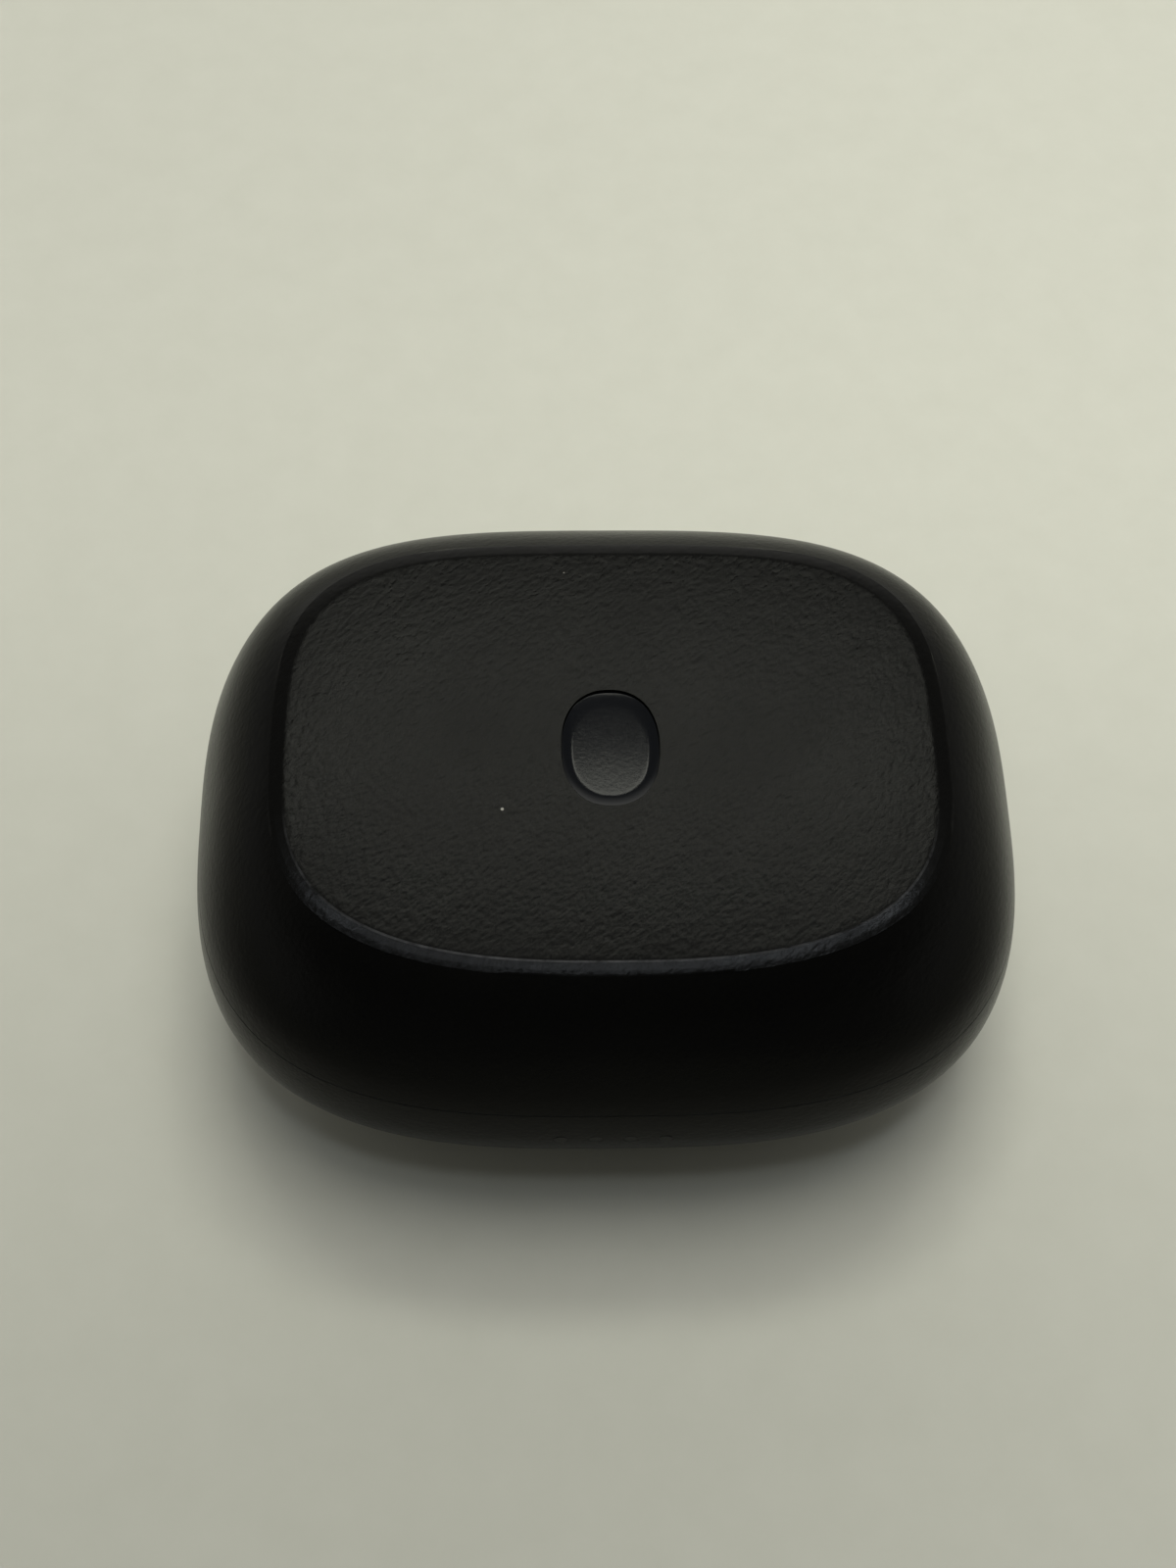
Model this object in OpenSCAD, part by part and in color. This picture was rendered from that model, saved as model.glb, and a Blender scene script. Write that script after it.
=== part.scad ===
// Charging case for a pair of wireless earbuds: a pebble-shaped base and hinged lid,
// with a cradle for the buds, sprung charging contacts, a battery and a USB-C inlet.
// X runs side to side, Y front to back (hinge at +Y), Z up from the surface it stands on.

/* [Case shape] */
// Width of the case at its widest section
case_w = 64; // [58:1:78]
// Depth of the case at its widest section
case_d = 51.6; // [48:0.2:63]
// Height of the closed case
case_h = 26; // [25:0.5:32]
// Height of the widest section above the foot
belly_z = 12; // [11:0.5:13]
// Height of the parting line between base and lid
seam_z = 16; // [15.5:0.5:17]
// Gap between the rims of base and lid
seam_gap = 0.15; // [0.1:0.05:0.4]
// How far the flat top stands in from the widest section
top_inset = 7.95; // [6.5:0.05:9.5]
// How far the flat foot stands in from the widest section
foot_inset = 12.5; // [10:0.1:13]
// Squareness of the plan at the widest section: 2 is an ellipse
belly_power = 2.92; // [2.6:0.02:3.2]
// Squareness of the plan at the flat top
top_power = 3.48; // [2.8:0.02:3.6]
// Share of a quarter ellipse that the upper side uses
upper_arc = 0.93; // [0.8:0.01:0.95]
// Share of a quarter ellipse that the lower side uses
lower_arc = 0.8; // [0.6:0.01:0.88]
// Width of the soft edge round the flat top
edge_w = 0.9; // [0.5:0.1:1.4]
// Wall thickness of base and lid
wall = 1.6; // [1.3:0.1:2]

/* [Inlay] */
// Width of the glossy inlay in the lid
inlay_w = 7.4; // [5:0.2:12]
// Length of the glossy inlay in the lid
inlay_l = 10; // [6:0.2:14]
// Depth of the inlay's recess
inlay_recess = 0.7; // [0.5:0.1:0.9]
// How far the inlay lies below the lid's top
inlay_sink = 0.25; // [0.1:0.05:0.4]

/* [Hinge] */
// How far the lid opens, in degrees
lid_open = 95; // [80:1:100]
// Radius of the hinge barrel
barrel_r = 1.3; // [1.2:0.05:1.5]
// Length of the whole hinge barrel
barrel_l = 20; // [16:0.5:24]
// Length of the base's middle knuckle
mid_knuckle_l = 8; // [6:0.5:10]
// Side gap between knuckles
knuckle_gap = 0.2; // [0.1:0.05:0.4]
// Depth of the barrel below the rear surface
barrel_sink = 0.3; // [0.2:0.05:0.6]
// Radius of the steel hinge pin
pin_r = 0.5; // [0.4:0.05:0.6]
// Radial running clearance of the lid's knuckles on the pin
pin_fit = 0.03; // [0.02:0.01:0.08]
// Clearance of the shells round the barrel
barrel_clear = 0.15; // [0.1:0.05:0.3]

/* [Cradle] */
// Distance of each well's centre from the middle
well_x = 14.2; // [13.4:0.1:16]
// Place of the wells' centres front to back
well_y = -2; // [-3:0.1:-1]
// Radius of the well's round part
well_r = 8; // [6.8:0.1:8.6]
// How far the nozzle end reaches beyond the round part
well_lobe = 4.3; // [3:0.1:4.8]
// Direction of the right well's nozzle end, in degrees from +X
well_turn = 105; // [95:1:115]
// Depth of each well below the deck
well_depth = 8; // [6.5:0.1:8.2]
// Radius of the curve between the well's floor and side
well_bowl = 5; // [3:0.1:6]
// Radius of the well's soft upper lip
well_lip = 0.6; // [0.3:0.1:0.8]
// Wall thickness of the wells
well_wall = 1.1; // [0.9:0.1:1.3]
// Thickness of the cradle's deck
deck_t = 1.2; // [1:0.1:1.5]
// How far the deck lies below the parting line
deck_drop = 0.5; // [0.4:0.1:0.8]
// Gap between a loose-fitting inner piece and the shell's wall
inner_gap = 0.12; // [0.08:0.02:0.3]

/* [Lid liner] */
// Thickness of the liner's flange
liner_t = 1; // [0.8:0.1:1.2]
// Height of the liner's flange above the parting line
liner_rise = 0.4; // [0.3:0.05:0.6]
// Height of the liner's pockets above the underside of its flange
pocket_h = 6.4; // [5:0.1:6.8]

/* [Charging contacts] */
// Distance of the contacts from the well's centre, outwards
contact_x = 5; // [4.4:0.1:5.6]
// Spacing of the two contacts of a well
contact_pitch = 5.2; // [4:0.1:6.4]
// Travel of a contact
contact_travel = 0.8; // [0.5:0.1:1]
// How far a contact stands up out of its barrel
contact_rise = 1.2; // [1.1:0.1:1.6]
// Outer radius of a contact barrel
sleeve_r = 0.95; // [0.9:0.05:1.1]
// Radius of a contact plunger's tip
plunger_r = 0.5; // [0.4:0.05:0.55]
// Radius of the plunger's shoulder
shoulder_r = 0.7; // [0.65:0.05:0.75]
// Radial running clearance of the plunger
plunger_fit = 0.03; // [0.02:0.01:0.08]
// Thickness of the small contact boards
contact_board_t = 0.6; // [0.4:0.1:0.8]

/* [Power and electronics] */
// Space between the battery and the foot's edge at its two ends
cell_end_gap = 3.5; // [3:0.1:6]
// Clearance between the battery and the contact boards beside it
cell_board_gap = 0.8; // [0.5:0.1:2]
// Space between the battery and the foot's edge at its front and back
cell_side_gap = 2.3; // [2:0.1:4]
// Thickness of the battery
cell_t = 4; // [3:0.1:4.1]
// Thickness of the battery's adhesive pad
pad_t = 0.3; // [0.2:0.05:0.4]
// Width of the main board
board_w = 37; // [34:0.5:38]
// Clearance between the main board's edge and the shell
board_gap = 0.5; // [0.4:0.1:0.8]
// Thickness of the main board
board_t = 0.8; // [0.6:0.1:1]
// Height of the main board's underside above the foot
board_z = 8; // [7.6:0.1:8.4]
// Width of the USB-C shell
usb_w = 8.94; // [8.94:0.01:9]
// Height of the USB-C shell
usb_h = 3.16; // [3.16:0.01:3.26]
// Length of the USB-C shell
usb_l = 7.3; // [6.6:0.1:7.5]
// Sheet thickness of the USB-C shell
usb_sheet = 0.25; // [0.2:0.05:0.3]
// How far the USB-C mouth lies below the rear surface
usb_sink = 1; // [0.8:0.1:1.4]
// Clearance of the case's port hole round the USB-C shell
usb_clear = 0.2; // [0.1:0.05:0.4]
// Spacing of the indicator lights
light_pitch = 2.6; // [2:0.1:3.2]
// Height of the indicator lights above the foot
light_z = 12.5; // [12:0.1:12.8]
// Radius of each light guide post
light_r = 0.45; // [0.3:0.05:0.6]

/* [Hidden] */
$fn = 48;

// Points round each plan outline, and levels up each side
outline_steps = 72;
side_levels = 11;
pocket_steps = 40;
pocket_levels = 6;
// A cutter runs this far past the wall that it opens
past = 4;

rim_base_z = seam_z - seam_gap / 2;
rim_lid_z = seam_z + seam_gap / 2;
deck_z = seam_z - deck_drop;
liner_z = seam_z + liner_rise;
liner_top = liner_z + liner_t;

function arc_share(u, share) = (1 - sqrt(1 - pow(u * share, 2))) / (1 - sqrt(1 - pow(share, 2)));
function upper_share(z) = arc_share((z - belly_z) / (case_h - belly_z), upper_arc);
function lower_share(z) = arc_share((belly_z - z) / belly_z, lower_arc);
// How far the side stands in from the widest section at height z
function side_in(z) = z >= belly_z ? top_inset * upper_share(z) : foot_inset * lower_share(z);
function power_at(z) = z >= belly_z ? belly_power + (top_power - belly_power) * upper_share(z) : belly_power;
// Lean of the side from upright at height z, positive where it leans in upwards
function lean(z) = z >= belly_z
  ? atan((side_in(z) - side_in(z - 0.02)) / 0.02) : -atan((side_in(z) - side_in(z + 0.02)) / 0.02);
function half_w(z) = case_w / 2 - side_in(z);
function half_d(z) = case_d / 2 - side_in(z);
// Half sizes of the space inside the wall at height z
function inner_w(z) = half_w(z) - wall / cos(lean(z));
function inner_d(z) = half_d(z) - wall / cos(lean(z));

function outline(a, b, p) = [for (i = [0 : outline_steps - 1])
  let (t = 360 * i / outline_steps, c = cos(t), s = sin(t))
  [a * sign(c) * pow(abs(c), 2 / p), b * sign(s) * pow(abs(s), 2 / p)]];
function ring(a, b, p, z) = [for (q = outline(a, b, p)) [q[0], q[1], z]];
// The plan outline at height z, moved in by a depth square to the side
function side_ring(z, depth) = ring(half_w(z) - depth * cos(lean(z)),
  half_d(z) - depth * cos(lean(z)), power_at(z), z - depth * sin(lean(z)));
// Heights from z0 to z1, closer together towards z1
function levels(z0, z1) = [for (i = [0 : side_levels]) z0 + (z1 - z0) * sin(90 * i / side_levels)];
// The soft edge between the side and the flat top, as a curve from the side to the top
edge_z = case_h - edge_w / 2;
function edge_ring(t) = let (u = 1 - t,
    inset = u * u * side_in(edge_z) + 2 * t * u * top_inset + t * t * (top_inset + edge_w))
  ring(case_w / 2 - inset, case_d / 2 - inset, top_power, u * u * edge_z + (1 - u * u) * case_h);
// Height of the base's underside over the point (x, y), found by halving
function inside_at(x, y, z) = pow(abs(x) / half_w(z), belly_power) + pow(abs(y) / half_d(z), belly_power) < 1;
function skin_z(x, y, lo = 0, hi = belly_z, n = 16) = n == 0 ? hi
  : let (mid = (lo + hi) / 2)
    inside_at(x, y, mid) ? skin_z(x, y, lo, mid, n - 1) : skin_z(x, y, mid, hi, n - 1);

// A closed solid through rings of equally many points, flat at both ends
module loft(rings) {
  n = len(rings[0]);
  m = len(rings);
  sides = [for (k = [0 : m - 2], i = [0 : n - 1]) let (j = (i + 1) % n)
    [k * n + i, (k + 1) * n + i, (k + 1) * n + j, k * n + j]];
  ends = [[for (i = [0 : n - 1]) i], [for (i = [0 : n - 1]) m * n - 1 - i]];
  polyhedron(points = [for (r = rings, q = r) q], faces = concat(sides, ends), convexity = 6);
}

// Extrudes a YZ outline along X, centred
module along_x(length) {
  translate([-length / 2, 0, 0])
    rotate([90, 0, 90])
      linear_extrude(length)
        children();
}

// A rounded slot of width w and height h that runs from y0 to y1
module slot_y(w, h, y0, y1) {
  translate([0, y1, 0]) rotate([90, 0, 0]) linear_extrude(y1 - y0) {
    square([w - h, h], center = true);
    for (side = [-1, 1])
      translate([side * (w - h) / 2, 0]) circle(h / 2);
  }
}

module disc_x(r, length) {
  rotate([0, 90, 0]) cylinder(r = r, h = length, center = true);
}

// ---- Hinge geometry that base and lid share ----
hinge_y = half_d(seam_z) - barrel_sink - barrel_r;
// Each shell's rear rim is cut back by this angle from the parting plane
relief = lid_open / 2 + 2;
side_knuckle_l = (barrel_l - mid_knuckle_l) / 2 - knuckle_gap;
side_knuckle_x = barrel_l / 2 - side_knuckle_l / 2;
bracket_t = 1.2;
bracket_front = well_y + well_r + well_lobe + well_wall + 1.2;
arm_t = 2;
arm_y = inner_d(liner_top + bracket_t) - 0.6 - arm_t;
link_t = 0.95;
// Distance of the arms and links from the plane of their own shell's rim
arm_gap = 0.08;

// Everything outside the hinge line that base and lid would both sweep
module hinge_relief() {
  reach = case_d;
  translate([0, hinge_y, seam_z]) {
    along_x(case_w)
      polygon([[0, 0], [reach, -reach * tan(relief)], [reach, reach * tan(relief)]]);
    disc_x(barrel_r + barrel_clear, barrel_l + 2 * knuckle_gap);
  }
}

// Room in the shells for the links between the arms and the knuckles
module link_slot() {
  room = seam_gap / 2 + arm_gap + link_t + 0.1;
  translate([-barrel_l / 2 - knuckle_gap, arm_y, seam_z - room])
    cube([barrel_l + 2 * knuckle_gap, hinge_y - arm_y, 2 * room]);
}

module knuckle(x, length, bore_r) {
  translate([x, hinge_y, seam_z])
    difference() {
      disc_x(barrel_r, length);
      disc_x(bore_r, length + 1);
    }
}

// Small cross-headed screw, head up, its head's underside at the origin
screw_head_r = 1.1;
screw_head_h = 0.6;
screw_r = 0.55;
screw_clear = 0.1;
module screw(length) {
  difference() {
    union() {
      cylinder(r = screw_head_r, h = screw_head_h);
      translate([0, 0, -length]) cylinder(r = screw_r, h = length + 0.1);
    }
    for (turn = [0, 90])
      rotate(turn) translate([-0.7, -0.15, screw_head_h - 0.3]) cube([1.4, 0.3, 1]);
  }
}

// ---- Lid ----
module lid_shell() {
  color([0.07, 0.07, 0.07])
    difference() {
      loft(concat(
        [for (z = levels(rim_lid_z, case_h)) side_ring(case_h + rim_lid_z - z, wall)],
        [for (z = levels(rim_lid_z, edge_z)) side_ring(z, 0)],
        [for (t = [0.25 : 0.25 : 1]) edge_ring(t)]));
      hinge_relief();
      link_slot();
      inlay_outline(inlay_recess, 1);
    }
}

// The inlay's plan, from a depth below the top up to height rise above it
module inlay_outline(depth, rise) {
  translate([0, 0, case_h - depth])
    linear_extrude(depth + rise) polygon(outline(inlay_w / 2, inlay_l / 2, 2.3));
}

module lid_inlay() {
  color([0.02, 0.02, 0.02]) inlay_outline(inlay_recess, -inlay_sink);
}

// Polar radius of a well's outline: round, with a rounded lobe for the nozzle
function well_radius(t) = well_r + well_lobe * pow(max(0, cos(t - well_turn)), 3);
function well_ring(grow, z) = [for (i = [0 : pocket_steps - 1])
  let (t = 360 * i / pocket_steps, r = well_radius(t) + grow) [well_x + r * cos(t), well_y + r * sin(t), z]];
// How much a bowl of this radius closes in at height h above its floor
function bowl_in(h, r) = h >= r ? 0 : r * (1 - sqrt(1 - pow((r - h) / r, 2)));

// A right-hand well's solid, floor at z0, open end at z1: grow widens it, lip flares the open end
module well_solid(z0, z1, bowl, grow, lip) {
  up = z1 > z0 ? 1 : -1;
  tall = abs(z1 - z0);
  curve = [for (i = [0 : pocket_levels]) let (h = bowl * (1 - cos(90 * i / pocket_levels)))
    well_ring(grow - bowl_in(h, bowl), z0 + up * h)];
  flare = lip > 0 ? [for (i = [0 : 3]) let (h = lip * i / 3)
    well_ring(grow + bowl_in(lip - h, lip), z0 + up * (tall - lip + h))] : [well_ring(grow, z1)];
  rings = concat(curve, flare, lip > 0 ? [well_ring(grow + lip, z1 + up * 0.2)] : []);
  loft(up > 0 ? rings : [for (i = [len(rings) - 1 : -1 : 0]) rings[i]]);
}

module both_sides() {
  children();
  mirror([1, 0, 0]) children();
}

lid_screw_x = 7;
bracket_screw_y = (bracket_front + arm_y) / 2;

module lid_liner() {
  flange_w = inner_w(liner_top) - inner_gap;
  flange_d = inner_d(liner_top) - inner_gap;
  color([0.1, 0.1, 0.1])
    difference() {
      union() {
        translate([0, 0, liner_z])
          linear_extrude(liner_t) polygon(outline(flange_w, flange_d, power_at(liner_top)));
        both_sides()
          well_solid(liner_z + pocket_h + well_wall, liner_z + liner_t / 2,
            well_bowl + well_wall, well_wall, 0);
      }
      both_sides() well_solid(liner_z + pocket_h, liner_z, well_bowl, 0, well_lip);
      hinge_relief();
      // Slot for the bracket's links
      translate([-barrel_l / 2 - 0.3, arm_y - 0.3, liner_z - 1])
        cube([barrel_l + 0.6, case_d, liner_t + 2]);
      for (x = [-1, 1])
        translate([x * lid_screw_x, bracket_screw_y, liner_z + 0.2]) cylinder(r = screw_r, h = liner_t);
    }
}

module lid_hinge_bracket() {
  color([0.12, 0.12, 0.12]) {
    difference() {
      translate([-barrel_l / 2, bracket_front, liner_top])
        cube([barrel_l, arm_y + arm_t - bracket_front, bracket_t]);
      for (x = [-1, 1])
        translate([x * lid_screw_x, bracket_screw_y, liner_top - 1])
          cylinder(r = screw_r + screw_clear, h = bracket_t + 2);
    }
    for (x = [-1, 1]) {
      translate([x * side_knuckle_x - side_knuckle_l / 2, arm_y, rim_lid_z + arm_gap])
        cube([side_knuckle_l, arm_t, liner_top - rim_lid_z + 0.1]);
      difference() {
        union() {
          knuckle(x * side_knuckle_x, side_knuckle_l, pin_r + pin_fit);
          translate([x * side_knuckle_x - side_knuckle_l / 2, arm_y + 0.1, rim_lid_z + arm_gap])
            cube([side_knuckle_l, hinge_y - arm_y - 0.1, link_t]);
        }
        translate([x * side_knuckle_x, hinge_y, seam_z]) disc_x(pin_r + pin_fit, side_knuckle_l + 1);
      }
    }
  }
}

module lid_bracket_screws() {
  color("silver")
    for (x = [-1, 1])
      translate([x * lid_screw_x, bracket_screw_y, liner_top + bracket_t]) screw(bracket_t + liner_t - 0.4);
}

latch_x = 12.5;
latch_inset = 4.2;
latch_size = [8, 2, 2.4];
latch_y = inner_d(liner_top + latch_size[2]) - latch_inset + latch_size[1] / 2;

module latch_magnet(side, z) {
  color("silver")
    translate([side * latch_x - latch_size[0] / 2, -latch_y - latch_size[1] / 2, z]) cube(latch_size);
}

module lid_magnet_left() { latch_magnet(-1, liner_top); }
module lid_magnet_right() { latch_magnet(1, liner_top); }

sensor_x = 15;
sensor_y = bracket_front + 1.6;
module lid_sensor_magnet() {
  color("silver")
    translate([sensor_x, sensor_y, liner_top]) cylinder(r = 1.5, h = 1.2);
}

// ---- Base ----
board_front = well_y + well_r + well_lobe + well_wall + 0.7;
board_rear = inner_d(board_z) - board_gap - 0.1;
board_top = board_z + board_t;
usb_z = board_top + usb_h / 2;
usb_mouth_y = half_d(usb_z) - usb_sink;
light_x = [for (i = [0 : 3]) (i - 1.5) * light_pitch];
boss_r = 1.4;
boss_x = board_w / 2 - 2.6;
boss_y = board_front + boss_r + 0.7;
// Start of a boss, just inside the skin at the boss's outermost point
boss_foot = skin_z(boss_x + boss_r * 0.8, boss_y + boss_r * 0.8) + 0.1;

module board_bosses(r, from_z, to_z) {
  for (x = [-1, 1])
    translate([x * boss_x, boss_y, from_z]) cylinder(r = r, h = to_z - from_z);
}

module base_shell() {
  color([0.07, 0.07, 0.07])
    difference() {
      union() {
        loft(concat(
          [for (z = levels(rim_base_z, 0)) side_ring(rim_base_z - z, 0)],
          [for (z = levels(rim_base_z, 0)) side_ring(z, wall)]));
        board_bosses(boss_r, boss_foot, board_z);
      }
      hinge_relief();
      link_slot();
      board_bosses(screw_r, board_z - 3, board_z + 1);
      translate([0, 0, usb_z])
        slot_y(usb_w + 2 * usb_clear, usb_h + 2 * usb_clear, inner_d(usb_z) - past / 2, half_d(usb_z) + past);
      for (x = light_x)
        translate([x, -half_d(light_z) - 1, light_z])
          rotate([-90, 0, 0]) cylinder(r = light_r + 0.05, h = wall + past);
    }
}

well_floor_z = deck_z - well_depth;
contact_at = [for (x = [-1, 1], y = [-1, 1]) [x * (well_x + contact_x), well_y + y * contact_pitch / 2]];
base_plate_w = 14;
base_screw_x = 5.2;

module cradle_tray() {
  deck_w = inner_w(deck_z) - inner_gap;
  deck_d = inner_d(deck_z) - inner_gap;
  color([0.1, 0.1, 0.1])
    difference() {
      union() {
        translate([0, 0, deck_z - deck_t])
          linear_extrude(deck_t) polygon(outline(deck_w, deck_d, power_at(deck_z)));
        both_sides()
          well_solid(well_floor_z - well_wall, deck_z - deck_t / 2, well_bowl + well_wall, well_wall, 0);
      }
      both_sides() well_solid(well_floor_z, deck_z, well_bowl, 0, well_lip);
      hinge_relief();
      for (c = contact_at)
        translate([c[0], c[1], well_floor_z - past]) cylinder(r = sleeve_r + 0.05, h = 2 * past);
      // Slot for the base bracket's link
      translate([-mid_knuckle_l / 2 - 0.3, arm_y - 0.3, deck_z - deck_t - 1])
        cube([mid_knuckle_l + 0.6, case_d, deck_t + 2]);
      for (x = [-1, 1])
        translate([x * base_screw_x, bracket_screw_y, deck_z - deck_t - 1])
          cylinder(r = screw_r, h = deck_t + 0.7);
    }
}

module base_hinge_bracket() {
  plate_z = deck_z - deck_t - bracket_t;
  color([0.12, 0.12, 0.12]) {
    difference() {
      translate([-base_plate_w / 2, bracket_front, plate_z])
        cube([base_plate_w, arm_y + arm_t - bracket_front, bracket_t]);
      for (x = [-1, 1])
        translate([x * base_screw_x, bracket_screw_y, plate_z - 1])
          cylinder(r = screw_r + screw_clear, h = bracket_t + 2);
    }
    translate([-mid_knuckle_l / 2, arm_y, plate_z + 0.1])
      cube([mid_knuckle_l, arm_t, rim_base_z - arm_gap - plate_z - 0.1]);
    difference() {
      union() {
        knuckle(0, mid_knuckle_l, pin_r);
        translate([-mid_knuckle_l / 2, arm_y + 0.1, rim_base_z - arm_gap - link_t])
          cube([mid_knuckle_l, hinge_y - arm_y - 0.1, link_t]);
      }
      translate([0, hinge_y, seam_z]) disc_x(pin_r, mid_knuckle_l + 1);
    }
  }
}

module base_bracket_screws() {
  color("silver")
    for (x = [-1, 1])
      translate([x * base_screw_x, bracket_screw_y, deck_z - deck_t - bracket_t])
        rotate([180, 0, 0]) screw(bracket_t + 0.7);
}

module hinge_pin() {
  color("silver")
    translate([0, hinge_y, seam_z]) disc_x(pin_r, barrel_l - 0.4);
}

module base_magnet_left() { latch_magnet(-1, deck_z - deck_t - latch_size[2]); }
module base_magnet_right() { latch_magnet(1, deck_z - deck_t - latch_size[2]); }

// Two magnets hold each bud in its well: one against the front wall, one on the middle side
hold_r = 2.4;
hold_t = 1.1;
hold_z = well_floor_z + well_bowl - 1;
// The middle magnet stands forward of the well's centre, clear of the nozzle lobe
hold_shift = 2.2;
module well_magnets(side) {
  color("silver") {
    translate([side * well_x, well_y - well_r - well_wall - hold_t / 2, hold_z])
      rotate([90, 0, 0]) cylinder(r = hold_r, h = hold_t, center = true);
    translate([side * (well_x - well_r - well_wall - inner_gap - hold_t / 2), well_y - hold_shift, hold_z])
      disc_x(hold_r, hold_t);
  }
}
module well_magnets_left() { well_magnets(-1); }
module well_magnets_right() { well_magnets(1); }

// ---- Battery ----
// The battery fits on the floor and between the two contact boards
contact_board_w = 4.8;
cell_w = min(case_w - 2 * foot_inset - 2 * cell_end_gap,
  2 * (well_x + contact_x - contact_board_w / 2 - cell_board_gap));
cell_d = case_d - 2 * foot_inset - 2 * cell_side_gap;
floor_z = wall * sin(-lean(0));
cell_z = floor_z + pad_t;
cell_round = 3;
module rounded_block(w, d, h, r) {
  linear_extrude(h) {
    square([w - 2 * r, d], center = true);
    square([w, d - 2 * r], center = true);
    for (x = [-1, 1], y = [-1, 1])
      translate([x * (w / 2 - r), y * (d / 2 - r)]) circle(r);
  }
}

module battery_cell() {
  color([0.75, 0.76, 0.78])
    translate([0, 0, cell_z]) rounded_block(cell_w, cell_d, cell_t, cell_round);
}

module battery_pad() {
  color([0.9, 0.9, 0.85])
    translate([0, 0, floor_z]) rounded_block(cell_w - 6, cell_d - 6, pad_t, cell_round / 2);
}

// The plug hangs under the main board, behind the battery and beside the lights' flat cable
plug_x = 5;
plug_y = max(board_front + 3.1, cell_d / 2 + 4.2);
plug_size = [4.4, 2.4, 1.6];
lead_r = 0.4;
lead_x = 1.1;
lead_bend = 1.2;
lead_sides = 12;
// One ring of a lead that stands at (y, z) and heads a degrees up from +Y
function lead_ring(y, z, a) = [for (i = [0 : lead_sides - 1]) let (k = 360 * i / lead_sides)
  [lead_r * sin(k), y - lead_r * sin(a) * cos(k), z + lead_r * cos(a) * cos(k)]];

// Each lead leaves the battery's rear edge, climbs, and runs back into the plug
module battery_leads() {
  low = cell_z + cell_t / 2;
  high = board_z - plug_size[2] / 2;
  bend_y = cell_d / 2 + 0.4;
  turns = [0 : 15 : 90];
  color("firebrick")
    for (x = [-1, 1])
      translate([plug_x + x * lead_x, 0, 0])
        loft(concat([lead_ring(cell_d / 2, low, 0)],
          [for (a = turns) lead_ring(bend_y + lead_bend * sin(a), low + lead_bend * (1 - cos(a)), a)],
          [for (a = turns)
            lead_ring(bend_y + lead_bend * (2 - cos(a)), high - lead_bend * (1 - sin(a)), 90 - a)],
          [lead_ring(plug_y - plug_size[1] / 2, high, 0)]));
}

module battery_plug() {
  color([0.92, 0.92, 0.88])
    translate([plug_x - plug_size[0] / 2, plug_y - plug_size[1] / 2, board_z - plug_size[2]]) cube(plug_size);
}

// ---- Main board ----
module main_board() {
  color([0.05, 0.3, 0.12])
    translate([0, 0, board_z])
      linear_extrude(board_t)
        difference() {
          intersection() {
            translate([-board_w / 2, board_front]) square([board_w, board_rear - board_front]);
            polygon(outline(inner_w(board_z) - board_gap, inner_d(board_z) - board_gap, power_at(board_z)));
          }
          for (x = [-1, 1]) translate([x * boss_x, boss_y]) circle(screw_r + screw_clear);
        }
}

module board_screws() {
  color("silver")
    for (x = [-1, 1]) translate([x * boss_x, boss_y, board_top]) screw(board_t + 2);
}

module board_chip(x, y, w, d, h) {
  translate([x - w / 2, y - d / 2, board_top]) cube([w, d, h]);
}

chip_y = board_front + 2.4;
module charge_chip() { color([0.1, 0.1, 0.1]) board_chip(-7.4, chip_y, 3, 3, 0.8); }
module control_chip() { color([0.1, 0.1, 0.1]) board_chip(7.4, chip_y, 4, 4, 0.8); }
module power_inductor() { color([0.25, 0.25, 0.27]) board_chip(-11.4, chip_y, 3, 3, 1.5); }
module hall_sensor() { color([0.1, 0.1, 0.1]) board_chip(11.4, chip_y, 1.6, 2.8, 1); }
module chip_capacitors() {
  color([0.6, 0.5, 0.35])
    for (i = [0 : 2], side = [-1, 1]) board_chip(side * (6.4 + 2 * i), board_rear - 0.9, 1.6, 0.8, 0.8);
}
module chip_resistors() {
  color([0.15, 0.15, 0.17])
    for (side = [-1, 1], step = [-1, 1]) board_chip(side * 13.7, chip_y + step, 0.6, 1.2, 0.4);
}

// ---- USB-C inlet ----
usb_back_y = usb_mouth_y - usb_l;
tongue_w = 6.7;
tongue_t = 0.7;
tongue_l = 4.5;
block_l = 1.4;
module usb_shell() {
  color("silver")
    translate([0, 0, usb_z])
      difference() {
        slot_y(usb_w, usb_h, usb_back_y, usb_mouth_y);
        slot_y(usb_w - 2 * usb_sheet, usb_h - 2 * usb_sheet, usb_back_y - 1, usb_mouth_y + 1);
      }
}

module usb_tongue() {
  color([0.08, 0.08, 0.08]) {
    translate([0, 0, usb_z])
      slot_y(usb_w - 2 * usb_sheet, usb_h - 2 * usb_sheet, usb_back_y, usb_back_y + block_l);
    translate([-tongue_w / 2, usb_back_y + block_l - 0.1, usb_z - tongue_t / 2])
      cube([tongue_w, tongue_l, tongue_t]);
  }
}

module usb_contacts() {
  pad_l = 3.6;
  color("gold")
    for (i = [0 : 11], face = [-1, 1])
      translate([(i - 5.5) * 0.5 - 0.125, usb_back_y + block_l,
        usb_z + face * (tongue_t / 2 + 0.03) - 0.03]) cube([0.25, pad_l, 0.06]);
}

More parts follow.
